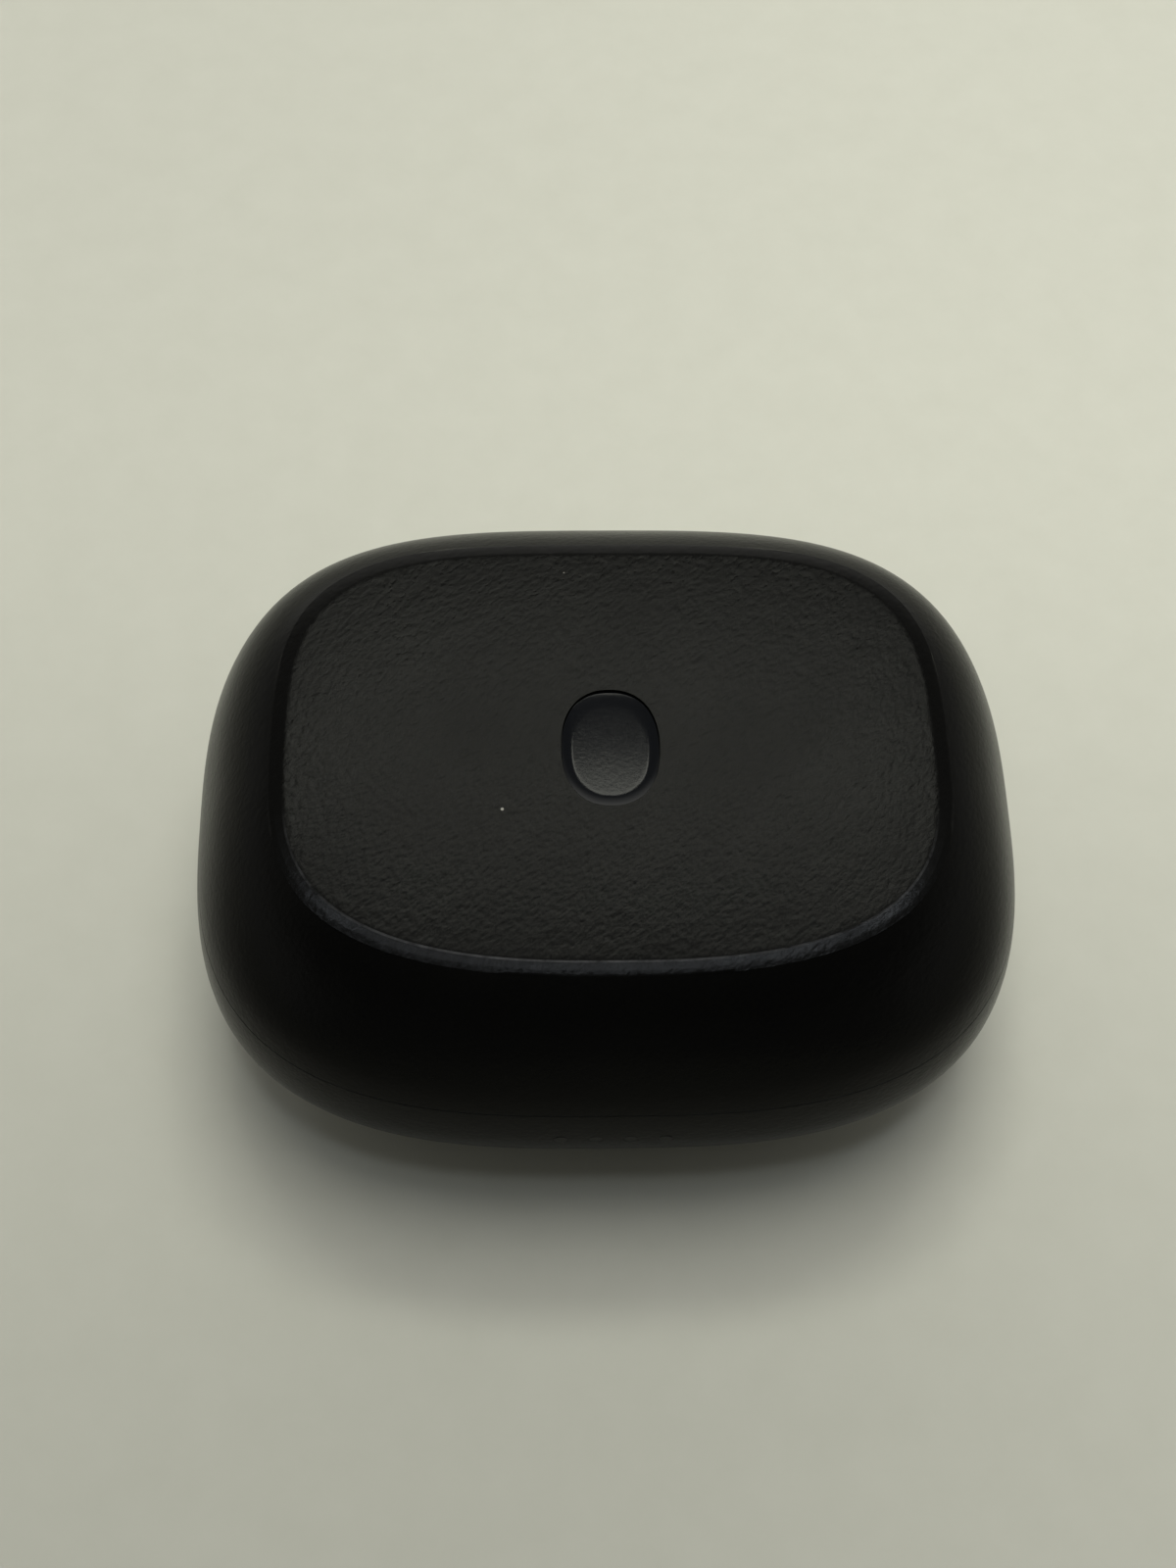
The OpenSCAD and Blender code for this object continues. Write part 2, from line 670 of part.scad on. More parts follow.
// ---- Indicator lights ----
guide_t = 1.4;
guide_back_y = -inner_d(light_z) + 0.6 + guide_t;
light_size = [1.6, 0.6, 0.8];
light_board_t = 0.6;
guide_half = 1.5 * light_pitch + 1.6;
module light_guide() {
  color([0.3, 0.3, 0.32]) {
    translate([-guide_half, guide_back_y - guide_t, light_z - 0.6])
      cube([2 * guide_half, guide_t, 1.2]);
    for (x = light_x)
      translate([x, -half_d(light_z) + 0.05, light_z])
        rotate([-90, 0, 0]) cylinder(r = light_r, h = half_d(light_z) + guide_back_y - guide_t / 2 - 0.05);
  }
}

module indicator_lights() {
  color([0.9, 0.9, 0.8])
    for (x = light_x)
      translate([x - light_size[0] / 2, guide_back_y, light_z - light_size[2] / 2]) cube(light_size);
}

light_board_y = guide_back_y + light_size[1];
module light_board() {
  top_z = deck_z - deck_t;
  color([0.05, 0.3, 0.12])
    translate([-guide_half, light_board_y, light_z - 1.6])
      cube([2 * guide_half, light_board_t, top_z - light_z + 1.6]);
}

flex_t = 0.15;
// A flat cable through YZ points, flex_t thick, folded along X
module flex(points, width) {
  n = len(points);
  along_x(width)
    polygon(concat(points, [for (i = [n - 1 : -1 : 0]) points[i] + [0, flex_t]]));
}

module light_flex() {
  run_z = cell_z + cell_t + 0.1;
  start_y = light_board_y + light_board_t;
  // It climbs behind the battery and ends flat against the main board's underside
  climb_y = cell_d / 2 + 0.2;
  end_y = max(board_front + 0.2, climb_y + 0.3);
  color("darkorange")
    flex([[start_y, light_z - 1.2], [start_y + 0.6, light_z - 1.4], [start_y + 2.2, run_z],
      [climb_y, run_z], [end_y, board_z - flex_t], [end_y + 1.2, board_z - flex_t]], 3);
}

// ---- Charging contacts ----
sleeve_top = well_floor_z + bowl_in_floor();
// Height of the bowl's curve above the well floor where the contacts stand
function bowl_in_floor() = let (over = norm([contact_x, contact_pitch / 2]) - (well_r - well_bowl))
  over <= 0 ? 0 : well_bowl - sqrt(pow(well_bowl, 2) - pow(over, 2));
sleeve_l = 3.6;
sleeve_z = sleeve_top - sleeve_l;
sleeve_floor = 0.3;
crimp_t = 0.25;
shoulder_t = 0.6;
bore_r = shoulder_r + plunger_fit;
shoulder_top = sleeve_top - crimp_t - 0.01;

module contact_sleeves() {
  color("gold")
    for (c = contact_at)
      translate([c[0], c[1], sleeve_z])
        difference() {
          cylinder(r = sleeve_r, h = sleeve_l);
          translate([0, 0, sleeve_floor]) cylinder(r = bore_r, h = sleeve_l - sleeve_floor - crimp_t);
          translate([0, 0, sleeve_floor]) cylinder(r = plunger_r + plunger_fit, h = sleeve_l);
        }
}

module plunger(c) {
  tip_z = sleeve_top + contact_rise;
  round_h = 0.35;
  color("gold")
    translate([c[0], c[1], 0])
      rotate_extrude()
        polygon(concat([[0, shoulder_top - shoulder_t], [shoulder_r, shoulder_top - shoulder_t],
          [shoulder_r, shoulder_top], [plunger_r, shoulder_top]],
          [for (t = [0 : 15 : 90]) [plunger_r * cos(t), tip_z - round_h + round_h * sin(t)]]));
}

module plunger_left_front() { plunger(contact_at[0]); }
module plunger_left_rear() { plunger(contact_at[1]); }
module plunger_right_front() { plunger(contact_at[2]); }
module plunger_right_rear() { plunger(contact_at[3]); }

// Compression spring between the sleeve's floor and the plunger's shoulder
wire_r = 0.09;
spring_r = 0.52;
spring_turns = 4.5;
module spring(c) {
  steps = 14;
  sides = 6;
  z0 = sleeve_z + sleeve_floor + wire_r;
  tall = shoulder_top - shoulder_t - wire_r - z0;
  color("silver")
    translate([c[0], c[1], z0])
      loft([for (i = [0 : steps * spring_turns]) let (t = 360 * i / steps)
        [for (k = [0 : sides - 1]) let (a = -360 * k / sides, r = spring_r + wire_r * cos(a))
          [r * cos(t), r * sin(t), tall * i / (steps * spring_turns) + wire_r * sin(a)]]]);
}

module spring_left_front() { spring(contact_at[0]); }
module spring_left_rear() { spring(contact_at[1]); }
module spring_right_front() { spring(contact_at[2]); }
module spring_right_rear() { spring(contact_at[3]); }

contact_board_size = [contact_board_w, contact_pitch + 4, contact_board_t];
module contact_board(side) {
  color([0.05, 0.3, 0.12])
    translate([side * (well_x + contact_x) - contact_board_size[0] / 2,
      well_y - contact_board_size[1] / 2, sleeve_z - contact_board_t]) cube(contact_board_size);
}
module contact_board_left() { contact_board(-1); }
module contact_board_right() { contact_board(1); }

// Flat cable from a contact board back and up to the main board's underside
module contact_flex(side) {
  low = sleeve_z;
  color("darkorange")
    translate([side * (boss_x + 1.2), 0, 0])
      flex([[well_y + contact_pitch / 2 + 0.8, low], [well_y + contact_pitch / 2 + 1.9, low],
        [board_front - 0.4, board_z - flex_t], [board_front + 0.5, board_z - flex_t]], 1.8);
}
module contact_flex_left() { contact_flex(-1); }
module contact_flex_right() { contact_flex(1); }

lid_shell();
lid_inlay();
lid_liner();
lid_hinge_bracket();
lid_bracket_screws();
lid_magnet_left();
lid_magnet_right();
lid_sensor_magnet();
base_shell();
cradle_tray();
base_hinge_bracket();
base_bracket_screws();
hinge_pin();
base_magnet_left();
base_magnet_right();
well_magnets_left();
well_magnets_right();
battery_cell();
battery_pad();
battery_leads();
battery_plug();
main_board();
board_screws();
charge_chip();
control_chip();
power_inductor();
chip_capacitors();
chip_resistors();
hall_sensor();
usb_shell();
usb_tongue();
usb_contacts();
light_board();
indicator_lights();
light_guide();
light_flex();
contact_board_left();
contact_board_right();
contact_flex_left();
contact_flex_right();
contact_sleeves();
plunger_left_front();
plunger_left_rear();
plunger_right_front();
plunger_right_rear();
spring_left_front();
spring_left_rear();
spring_right_front();
spring_right_rear();
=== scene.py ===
import math

import bpy
from mathutils import Matrix, Vector


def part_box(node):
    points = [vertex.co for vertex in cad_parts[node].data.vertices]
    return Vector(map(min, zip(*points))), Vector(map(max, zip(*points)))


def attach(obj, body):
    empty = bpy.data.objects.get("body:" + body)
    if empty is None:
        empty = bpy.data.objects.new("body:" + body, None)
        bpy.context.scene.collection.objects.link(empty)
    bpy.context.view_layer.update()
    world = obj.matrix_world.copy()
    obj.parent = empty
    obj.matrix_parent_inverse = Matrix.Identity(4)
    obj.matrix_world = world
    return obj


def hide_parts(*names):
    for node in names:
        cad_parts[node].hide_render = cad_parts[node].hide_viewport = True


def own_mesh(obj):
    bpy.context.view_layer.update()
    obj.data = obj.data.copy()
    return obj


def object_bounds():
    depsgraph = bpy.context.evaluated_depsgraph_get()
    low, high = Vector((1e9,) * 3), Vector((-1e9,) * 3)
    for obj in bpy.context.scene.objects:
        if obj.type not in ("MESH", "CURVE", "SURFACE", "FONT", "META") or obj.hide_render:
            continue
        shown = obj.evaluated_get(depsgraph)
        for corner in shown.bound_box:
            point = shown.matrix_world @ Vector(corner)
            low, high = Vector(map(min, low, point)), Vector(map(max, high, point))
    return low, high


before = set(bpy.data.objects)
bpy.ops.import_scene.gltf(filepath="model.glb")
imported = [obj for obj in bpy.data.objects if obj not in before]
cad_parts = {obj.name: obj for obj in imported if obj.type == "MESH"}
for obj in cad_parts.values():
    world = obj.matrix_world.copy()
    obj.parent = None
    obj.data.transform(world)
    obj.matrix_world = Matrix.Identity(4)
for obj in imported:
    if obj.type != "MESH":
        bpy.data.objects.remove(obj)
cad_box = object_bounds()

# ---- Studio ----
# A wide pale table top under one large soft lamp high behind the case. The room is bright
# behind and beside the case and dim in front of it, where the viewer stands.
mm = 0.001
table_size = 8
viewer_height = math.radians(60.3)
viewer_swing = math.radians(-3.35)
viewer_tilt = math.radians(2.58)
viewer_distance = 188.4 * mm
aim = Vector((-1.32, 4.03, 13.33)) * mm
back = Vector((math.sin(viewer_swing) * math.cos(viewer_height),
               -math.cos(viewer_swing) * math.cos(viewer_height), math.sin(viewer_height)))
level_right = Vector((math.cos(viewer_swing), math.sin(viewer_swing), 0))
level_up = back.cross(level_right)
right = level_right * math.cos(viewer_tilt) + level_up * math.sin(viewer_tilt)
up = level_up * math.cos(viewer_tilt) - level_right * math.sin(viewer_tilt)

bpy.ops.object.select_all(action="DESELECT")
bpy.ops.object.camera_add()
camera = bpy.context.object
camera.name = "viewer"
camera.data.lens = 54.09
camera.data.clip_start = 0.005
camera.matrix_world = Matrix.LocRotScale(
    aim + back * viewer_distance, Matrix((right, up, back)).transposed().to_quaternion(), None)
bpy.context.scene.camera = camera
bpy.context.scene.view_settings.view_transform = "Standard"


def place(tree, kind, inputs=None, **settings):
    """Adds one shader node. An input is given a value, or the output that feeds it."""
    made = tree.nodes.new("ShaderNode" + kind)
    for name, value in settings.items():
        setattr(made, name, value)
    for name, value in (inputs or {}).items():
        if isinstance(value, bpy.types.NodeSocket):
            tree.links.new(value, made.inputs[name])
        else:
            made.inputs[name].default_value = value
    return made


def reckon(tree, operation, *values):
    """The output of one sum on values, or on the outputs that give them."""
    return place(tree, "Math", dict(enumerate(values)), operation=operation).outputs[0]


def ramp(tree, value, low, high, start=0, end=1, kind="SMOOTHSTEP"):
    """An output that goes from start to end while a value goes from low to high."""
    return place(tree, "MapRange", {"Value": value, "From Min": low, "From Max": high, "To Min": start,
                                    "To Max": end}, interpolation_type=kind).outputs["Result"]


def tint(tree, share, first, second, **settings):
    """An output between two colours, by a share. A colour may be another node's output."""
    first, second = [colour if isinstance(colour, bpy.types.NodeSocket) else (*colour, 1)
                     for colour in (first, second)]
    return place(tree, "Mix", {"Factor": share, 6: first, 7: second}, data_type="RGBA", **settings).outputs[2]


room = bpy.data.worlds.new("room")
bpy.context.scene.world = room
room.use_nodes = True
tree = room.node_tree
tree.nodes.clear()
direction = place(tree, "SeparateXYZ", {"Vector": place(tree, "TexCoord").outputs["Generated"]}).outputs
behind = ramp(tree, direction["Y"], -0.45, 0, 0.07, 0.32)
above_wall = ramp(tree, direction["Z"], 0.2, 0.5)
wall_light = ramp(tree, direction["Y"], -0.85, -0.4, 0.2, 0.58)
strength = place(tree, "Mix", {"Factor": above_wall, "A": wall_light, "B": behind}).outputs["Result"]
window = ramp(tree, direction["Y"], 0.66, 0.9, 0, 1.1)
light_of_room = place(tree, "Background", {"Color": (1, 0.99, 0.92, 1),
                                           "Strength": reckon(tree, "ADD", strength, window)})
place(tree, "OutputWorld", {"Surface": light_of_room.outputs[0]})

# Each lamp's tip and swing in degrees, its strength, its width in degrees and its colour
warm, mellow, cool = (1, 0.98, 0.94), (0.99, 1, 0.88), (0.86, 0.93, 1)
for name, tip, swing, energy, angle, colour in (
        ("ceiling_light", -17, -12, 1.48, 40, warm), ("rear_lamp_left", -31, 12, 0.18, 8, mellow),
        ("rear_lamp_middle", -31, -4, 0.16, 8, mellow), ("rear_lamp_right", -31, -20, 0.18, 8, mellow),
        ("front_lamp", 8, 4, 0.2, 6, cool), ("front_lamp_left", 11, -79, 0.15, 6, cool),
        ("front_lamp_right", 11, 79, 0.3, 6, cool), ("side_lamp_left", 23, -106, 0.22, 6, cool),
        ("side_lamp_right", 23, 106, 0.32, 6, cool)):
    bpy.ops.object.light_add(type="SUN", rotation=(math.radians(tip), 0, math.radians(swing)))
    lamp = bpy.context.object
    lamp.name = name
    lamp.data.energy = energy
    lamp.data.angle = math.radians(angle)
    lamp.data.color = colour
    lamp.visible_glossy = name != "ceiling_light"
    lamp.visible_diffuse = not name.startswith(("front_lamp_", "side_lamp_"))

bpy.ops.mesh.primitive_plane_add(size=table_size)
table = bpy.context.object
table.name = "table_top"

table_paint = bpy.data.materials.new("pale_table")
table_paint.use_nodes = True
tree = table_paint.node_tree
surface = tree.nodes["Principled BSDF"].inputs
position = place(tree, "TexCoord").outputs["Object"]
mottle = place(tree, "TexNoise", {"Vector": position, "Scale": 220, "Detail": 6, "Roughness": 0.62})
tone = tint(tree, mottle.outputs["Fac"], (0.61, 0.615, 0.53), (0.67, 0.675, 0.59))
along = place(tree, "SeparateXYZ", {"Vector": position}).outputs
# Painted shade: the table's colour darkens towards the front and a little towards the left, and is a little
# lighter at the right, standing in for the light falling off across the table
painted_front_shade = ramp(tree, along["Y"], -0.08, 0.06, 0.66, 1)
tone_drift_and_side_shade = ramp(tree, along["X"], -0.06, 0.06, 0.9, 1.02)
shade = reckon(tree, "MULTIPLY", painted_front_shade, tone_drift_and_side_shade)
tree.links.new(tint(tree, shade, (0, 0, 0), tone, clamp_factor=False), surface["Base Color"])
surface["Roughness"].default_value = 0.6
table.data.materials.append(table_paint)


# ---- Lid shell ----
# The upper half of the pebble, moulded in ABS with a rubbery soft-touch paint. It is one
# thin shell with a flat top, a softened top edge and a shallow recess for the inlay.
low, high = cad_box
half_w = high.x / mm
half_d = -low.y / mm
case_h = high.z / mm
belly_z = 12
seam_z = 16
seam_gap = 0.04
top_inset = 7.95
foot_inset = 12.5
top_bend = 0.93
foot_bend = 0.8
belly_squareness = 2.92
top_squareness = 3.48
top_turn = (18, 25.6)
top_widening = 0.5
top_unevenness = 0.5
wall = 1.6
rim_round = 0.04
plan_sides = 216


def arc_share(u, share):
    """How much of its full inset a quarter-ellipse side has reached at u of its height."""
    return (1 - math.sqrt(1 - (u * share) ** 2)) / (1 - math.sqrt(1 - share ** 2))


def rise(z):
    return arc_share((z - belly_z) / (case_h - belly_z), top_bend)


def inset_at(z):
    """How far the side stands in from the widest section at height z."""
    if z >= belly_z:
        return top_inset * rise(z)
    return foot_inset * arc_share((belly_z - z) / belly_z, foot_bend)


def squareness_at(z):
    if z >= belly_z:
        return belly_squareness + (top_squareness - belly_squareness) * rise(z)
    return belly_squareness


def lean_at(z):
    """Lean of the side from upright, positive where it leans in upwards."""
    step = 0.02 if z >= belly_z else -0.02
    return math.atan((inset_at(z) - inset_at(z - step)) / step)


def plan_ring(half_x, half_y, squareness, z, uneven=0.0):
    """A rounded-square outline at height z, as a function from an angle to a point. An uneven
    outline has rounder corners at the front than at the back."""
    def point(angle):
        c, s = math.cos(angle), math.sin(angle)
        power = squareness + uneven * (s - 0.5)
        reach = (abs(c / half_x) ** power + abs(s / half_y) ** power) ** (-1 / power)
        return reach * c, reach * s, z
    return point


def side_ring(z, depth):
    """The case's outline at height z, sunk square to the side by a depth. Near the top it
    turns into the top's own outline, which is wider and has rounder corners at the front."""
    inset = inset_at(z) + depth * math.cos(lean_at(z))
    t = min(max((z - top_turn[0]) / (top_turn[1] - top_turn[0]), 0), 1)
    share = t * t * (3 - 2 * t)
    return plan_ring(half_w - inset + top_widening * share, half_d - inset, squareness_at(z),
                     z - depth * math.sin(lean_at(z)), top_unevenness * share)


def flat_ring(inset, squareness, z):
    return plan_ring(half_w - inset, half_d - inset, squareness, z)


def top_ring(inset, z):
    return plan_ring(half_w - inset + top_widening, half_d - inset, top_squareness, z, top_unevenness)


def spread(start, end, steps):
    """Values from start to end, closer together towards the end."""
    return [start + (end - start) * math.sin(math.pi / 2 * i / steps) for i in range(steps + 1)]


def side_levels(start, end, steps):
    """Heights up or down the side from a rim, with a few close steps beside the rim."""
    way = math.copysign(1, end - start)
    return [start, start + way * 0.02, start + way * 0.06, start + way * 0.15] + spread(start, end, steps)[1:]


def drum(name, rings, sides=plan_sides):
    """A closed body through outlines, in millimetres. A unit drum is extruded up one step for
    each outline, and every point of it is then put on the outline of its step."""
    bpy.ops.object.select_all(action="DESELECT")
    bpy.ops.mesh.primitive_circle_add(vertices=sides, radius=1, fill_type="NGON")
    piece = bpy.context.object
    piece.name = name
    bpy.ops.object.mode_set(mode="EDIT")
    for _ in rings[1:]:
        bpy.ops.mesh.extrude_region_move(TRANSFORM_OT_translate={"value": (0, 0, 1)})
    bpy.ops.object.mode_set(mode="OBJECT")
    for vertex in piece.data.vertices:
        vertex.co = rings[round(vertex.co.z)](math.atan2(vertex.co.y, vertex.co.x))
    bpy.ops.object.mode_set(mode="EDIT")
    bpy.ops.mesh.select_all(action="SELECT")
    bpy.ops.mesh.normals_make_consistent(inside=False)
    bpy.ops.object.mode_set(mode="OBJECT")
    return piece


def select_only(piece):
    bpy.ops.object.select_all(action="DESELECT")
    piece.select_set(True)
    bpy.context.view_layer.objects.active = piece


def finish_modifiers(piece):
    select_only(piece)
    for modifier in list(piece.modifiers):
        bpy.ops.object.modifier_apply(modifier=modifier.name)


def carve(piece, *tools, operation="DIFFERENCE"):
    """Cuts tools out of a piece, or welds them on, and removes the tools."""
    for tool in tools:
        cut = piece.modifiers.new("cut", "BOOLEAN")
        cut.operation = operation
        cut.solver = "EXACT"
        cut.object = tool
    finish_modifiers(piece)
    for tool in tools:
        bpy.data.objects.remove(tool)
    return piece


def block(name, low_corner, high_corner, bevel=0.0):
    """A cuboid between two corners, with its edges softened."""
    bpy.ops.object.select_all(action="DESELECT")
    low_corner, high_corner = Vector(low_corner), Vector(high_corner)
    bpy.ops.mesh.primitive_cube_add(size=1, location=(low_corner + high_corner) / 2)
    piece = bpy.context.object
    piece.name = name
    piece.scale = high_corner - low_corner
    bpy.ops.object.transform_apply(location=True, rotation=True, scale=True)
    if bevel:
        soften(piece, bevel)
    return piece


def soften(piece, width, segments=2, limit=40):
    """Rounds the edges that are sharper than a limit in degrees."""
    edge = piece.modifiers.new("edge", "BEVEL")
    edge.width = width
    edge.segments = segments
    edge.limit_method = "ANGLE"
    edge.angle_limit = math.radians(limit)
    finish_modifiers(piece)
    return piece


def rod(name, radius, start, end, sides=48, bevel=0.0):
    """A round bar from one point to another."""
    bpy.ops.object.select_all(action="DESELECT")
    start, end = Vector(start), Vector(end)
    turn = (end - start).to_track_quat("Z", "Y")
    bpy.ops.mesh.primitive_cylinder_add(vertices=sides, radius=radius, depth=(end - start).length)
    piece = bpy.context.object
    piece.name = name
    piece.matrix_world = Matrix.LocRotScale((start + end) / 2, turn, None)
    bpy.ops.object.transform_apply(location=True, rotation=True, scale=True)
    if bevel:
        soften(piece, bevel, 3, 60)
    return piece


def put_in_place(piece, body, finish, slot, *nodes, keep_flats=True):
    """Brings a piece from millimetres to metres, and lets it ride on its body in its finish.
    Flat faces keep an even shading up to their softened edges, unless told otherwise."""
    select_only(piece)
    piece.scale = (mm, mm, mm)
    bpy.ops.object.transform_apply(location=True, rotation=True, scale=True)
    bpy.ops.object.shade_smooth_by_angle(angle=math.radians(32))
    if keep_flats:
        even = piece.modifiers.new("even", "WEIGHTED_NORMAL")
        even.keep_sharp = True
        finish_modifiers(piece)
    piece.data.materials.clear()
    piece.data.materials.append(finish)
    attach(piece, body)
    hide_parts(*nodes)


def new_group(name, values, results):
    """A node group for a place on the surface and some values, and its two ends' sockets."""
    group = bpy.data.node_groups.new(name, "ShaderNodeTree")
    group.interface.new_socket("Position", in_out="INPUT", socket_type="NodeSocketVector")
    for label in values:
        group.interface.new_socket(label, in_out="INPUT", socket_type="NodeSocketFloat")
    for label in results:
        group.interface.new_socket(label, in_out="OUTPUT", socket_type="NodeSocketFloat")
    return group, group.nodes.new("NodeGroupInput").outputs, group.nodes.new("NodeGroupOutput").inputs


# Fine grain of a paint, moulding or film, with softer mottling five times as wide: a height,
# and a tone that wanders over the surface
grain, given, result = new_group("fine_grain", ("Grains", "Mottling"), ("Height", "Tone"))
pebbles = place(grain, "TexVoronoi", {"Vector": given["Position"], "Scale": given["Grains"],
                                      "Randomness": 1}, feature="SMOOTH_F1")
fuzz = place(grain, "TexNoise", {"Vector": given["Position"], "Scale": given["Grains"],
                                 "Detail": 3, "Roughness": 0.6}).outputs["Fac"]
fine = reckon(grain, "MULTIPLY_ADD", pebbles.outputs["Distance"], 0.5, fuzz)
wide = reckon(grain, "MULTIPLY", given["Grains"], 0.2)
mottle = place(grain, "TexNoise", {"Vector": given["Position"], "Scale": wide,
                                   "Detail": 2, "Roughness": 0.7}).outputs["Fac"]
height = reckon(grain, "MULTIPLY_ADD", mottle, given["Mottling"], fine)
tone_drift_and_side_shade = place(grain, "TexNoise", {"Vector": given["Position"], "Scale": 130, "Detail": 4,
                                  "Roughness": 0.55}).outputs["Fac"]
tone = reckon(grain, "MULTIPLY", reckon(grain, "ADD", tone_drift_and_side_shade, fuzz), 0.5)
grain.links.new(height, result["Height"])
grain.links.new(tone, result["Tone"])

# Stray dust and lint: a few tiny pale specks
dust, given, result = new_group("stray_dust", ("Specks", "Size"), ("Mask",))
cells = place(dust, "TexVoronoi", {"Vector": given["Position"], "Scale": given["Specks"],
                                   "Randomness": 1}).outputs
reach = reckon(dust, "MULTIPLY", given["Size"], given["Specks"])
inside = reckon(dust, "LESS_THAN", cells["Distance"], reach)
pick = place(dust, "SeparateColor", {"Color": cells["Color"]})
rare = reckon(dust, "GREATER_THAN", pick.outputs[0], 0.984)
dust.links.new(reckon(dust, "MULTIPLY", inside, rare), result["Mask"])

# Wear and painted highlight along an edge that lies between two heights: a broken band of lighter
# colour, partly worn paint and partly a painted highlight of the front edge, which fades out towards the back
wear_and_highlight, given, result = new_group("edge_wear_and_highlight", ("Low", "High", "Amount"), ("Mask",))
spot = place(wear_and_highlight, "SeparateXYZ", {"Vector": given["Position"]}).outputs
over_low = reckon(wear_and_highlight, "GREATER_THAN", spot["Z"], given["Low"])
under_high = reckon(wear_and_highlight, "LESS_THAN", spot["Z"], given["High"])
band = reckon(wear_and_highlight, "MULTIPLY", over_low, under_high)
scuffs = place(wear_and_highlight, "TexNoise", {"Vector": given["Position"], "Scale": 900, "Detail": 5, "Roughness": 0.7})
patches = place(wear_and_highlight, "TexNoise", {"Vector": given["Position"], "Scale": 60, "Detail": 1})
both = reckon(wear_and_highlight, "MULTIPLY", scuffs.outputs["Fac"], patches.outputs["Fac"])
broken = ramp(wear_and_highlight, both, 0.12, 0.42, kind="LINEAR")
in_front = reckon(wear_and_highlight, "MULTIPLY", ramp(wear_and_highlight, spot["Y"], -0.004, -0.013), band)
worn_and_highlit = reckon(wear_and_highlight, "MULTIPLY", broken, in_front)
wear_and_highlight.links.new(reckon(wear_and_highlight, "MULTIPLY", worn_and_highlit, given["Amount"]), result["Mask"])


def grained(name, dark, light, roughness, swing, grains, relief, stretch=(1, 1, 1), turn=0.0,
            mottling=0.0, **shader):
    """A finish whose colour, roughness and height follow the fine grain, which is stretched
    along turned axes. The rest of the shader's sockets are given by name."""
    material = bpy.data.materials.new(name)
    material.use_nodes = True
    tree = material.node_tree
    surface = tree.nodes["Principled BSDF"].inputs
    turned = place(tree, "Mapping", {"Vector": place(tree, "TexCoord").outputs["Object"], "Scale": stretch,
                                     "Rotation": (0, 0, turn)}, vector_type="TEXTURE")
    texture = place(tree, "Group", {"Position": turned.outputs["Vector"], "Grains": grains,
                                    "Mottling": mottling}, node_tree=grain).outputs
    gloss = ramp(tree, texture["Tone"], 0.3, 0.7, roughness - swing, roughness + swing, "LINEAR")
    bump = place(tree, "Bump", {"Height": texture["Height"], "Strength": 1, "Distance": relief * mm})
    tree.links.new(tint(tree, texture["Tone"], dark, light), surface["Base Color"])
    tree.links.new(gloss, surface["Roughness"])
    tree.links.new(bump.outputs["Normal"], surface["Normal"])
    for label, value in shader.items():
        surface[label.replace("_", " ")].default_value = value
    return material


def overlay(material, mask, colour, metallic=0.0):
    """Lays a plain colour over a finish where a mask is 1."""
    tree = material.node_tree
    surface = tree.nodes["Principled BSDF"].inputs
    under = surface["Base Color"].links[0].from_socket
    tree.links.new(tint(tree, mask, under, colour), surface["Base Color"])
    before = surface["Metallic"].default_value
    if before != metallic:
        tree.links.new(ramp(tree, mask, 0, 1, before, metallic, "LINEAR"), surface["Metallic"])
    return material


# The paint's edge band runs between two corners, each given by its inset and height. It is
# made lighter a little all over, more on its inner line, and the parting line a little
band_low = (7.57, 25.74)
band_high = (8.22, 25.92)
band_round = 0.14
soft_touch = grained("soft_touch_paint", (0.0013, 0.0013, 0.0012), (0.0032, 0.0032, 0.003), 0.24, 0.04,
                     3000, 0.021, (1.6, 1, 1), math.radians(50), 1.3, Specular_IOR_Level=0.06)
tree = soft_touch.node_tree
position = place(tree, "TexCoord").outputs["Object"]
specks = place(tree, "Group", {"Position": position, "Specks": 620, "Size": 0.00014}, node_tree=dust)
overlay(soft_touch, specks.outputs["Mask"], (0.3, 0.29, 0.26))
# Painted highlight and worn paint: a lighter bluish grey on the top edge's band, strongest on its inner line,
# and a little on the parting line, fading out towards the back
for edge_low, edge_high, amount, worn_and_lit_grey in ((band_low[1], band_high[1] - 0.01, 0.2, 0.04),
                                          (band_high[1] - 0.03, band_high[1] - 0.006, 1, 0.07),
                                          (seam_z - 0.05, seam_z + 0.05, 0.3, 0.05)):
    worn_and_highlit = place(tree, "Group", {"Position": position, "Low": edge_low * mm, "High": edge_high * mm,
                                   "Amount": amount}, node_tree=wear_and_highlight)
    overlay(soft_touch, worn_and_highlit.outputs["Mask"], (worn_and_lit_grey * 0.94, worn_and_lit_grey * 0.96, worn_and_lit_grey))
crown_reach = 9.75
crown_power = 2.4


def crown_z(inset):
    """Height of the slightly crowned top, where the outline stands in by an inset."""
    return case_h - (case_h - band_high[1]) * (1 - (inset - band_high[0]) / crown_reach) ** crown_power


def edge_band_rings():
    """The narrow band round the top, between two lines where the surface turns quickly."""
    before = (inset_at(band_low[1] - band_round), band_low[1] - band_round)
    after = (band_high[0] + band_round * 2, crown_z(band_high[0] + band_round * 2))
    along = Vector(band_high) - Vector(band_low)
    along.normalize()
    corners = [(Vector(before), Vector(band_low), Vector(band_low) + along * band_round),
               (Vector(band_high) - along * band_round, Vector(band_high), Vector(after))]
    rings = []
    for start, corner, end in corners:
        for step in range(5):
            t = step / 4
            inset, z = start * (1 - t) ** 2 + corner * 2 * t * (1 - t) + end * t * t
            rings.append(top_ring(inset, z))
    return rings


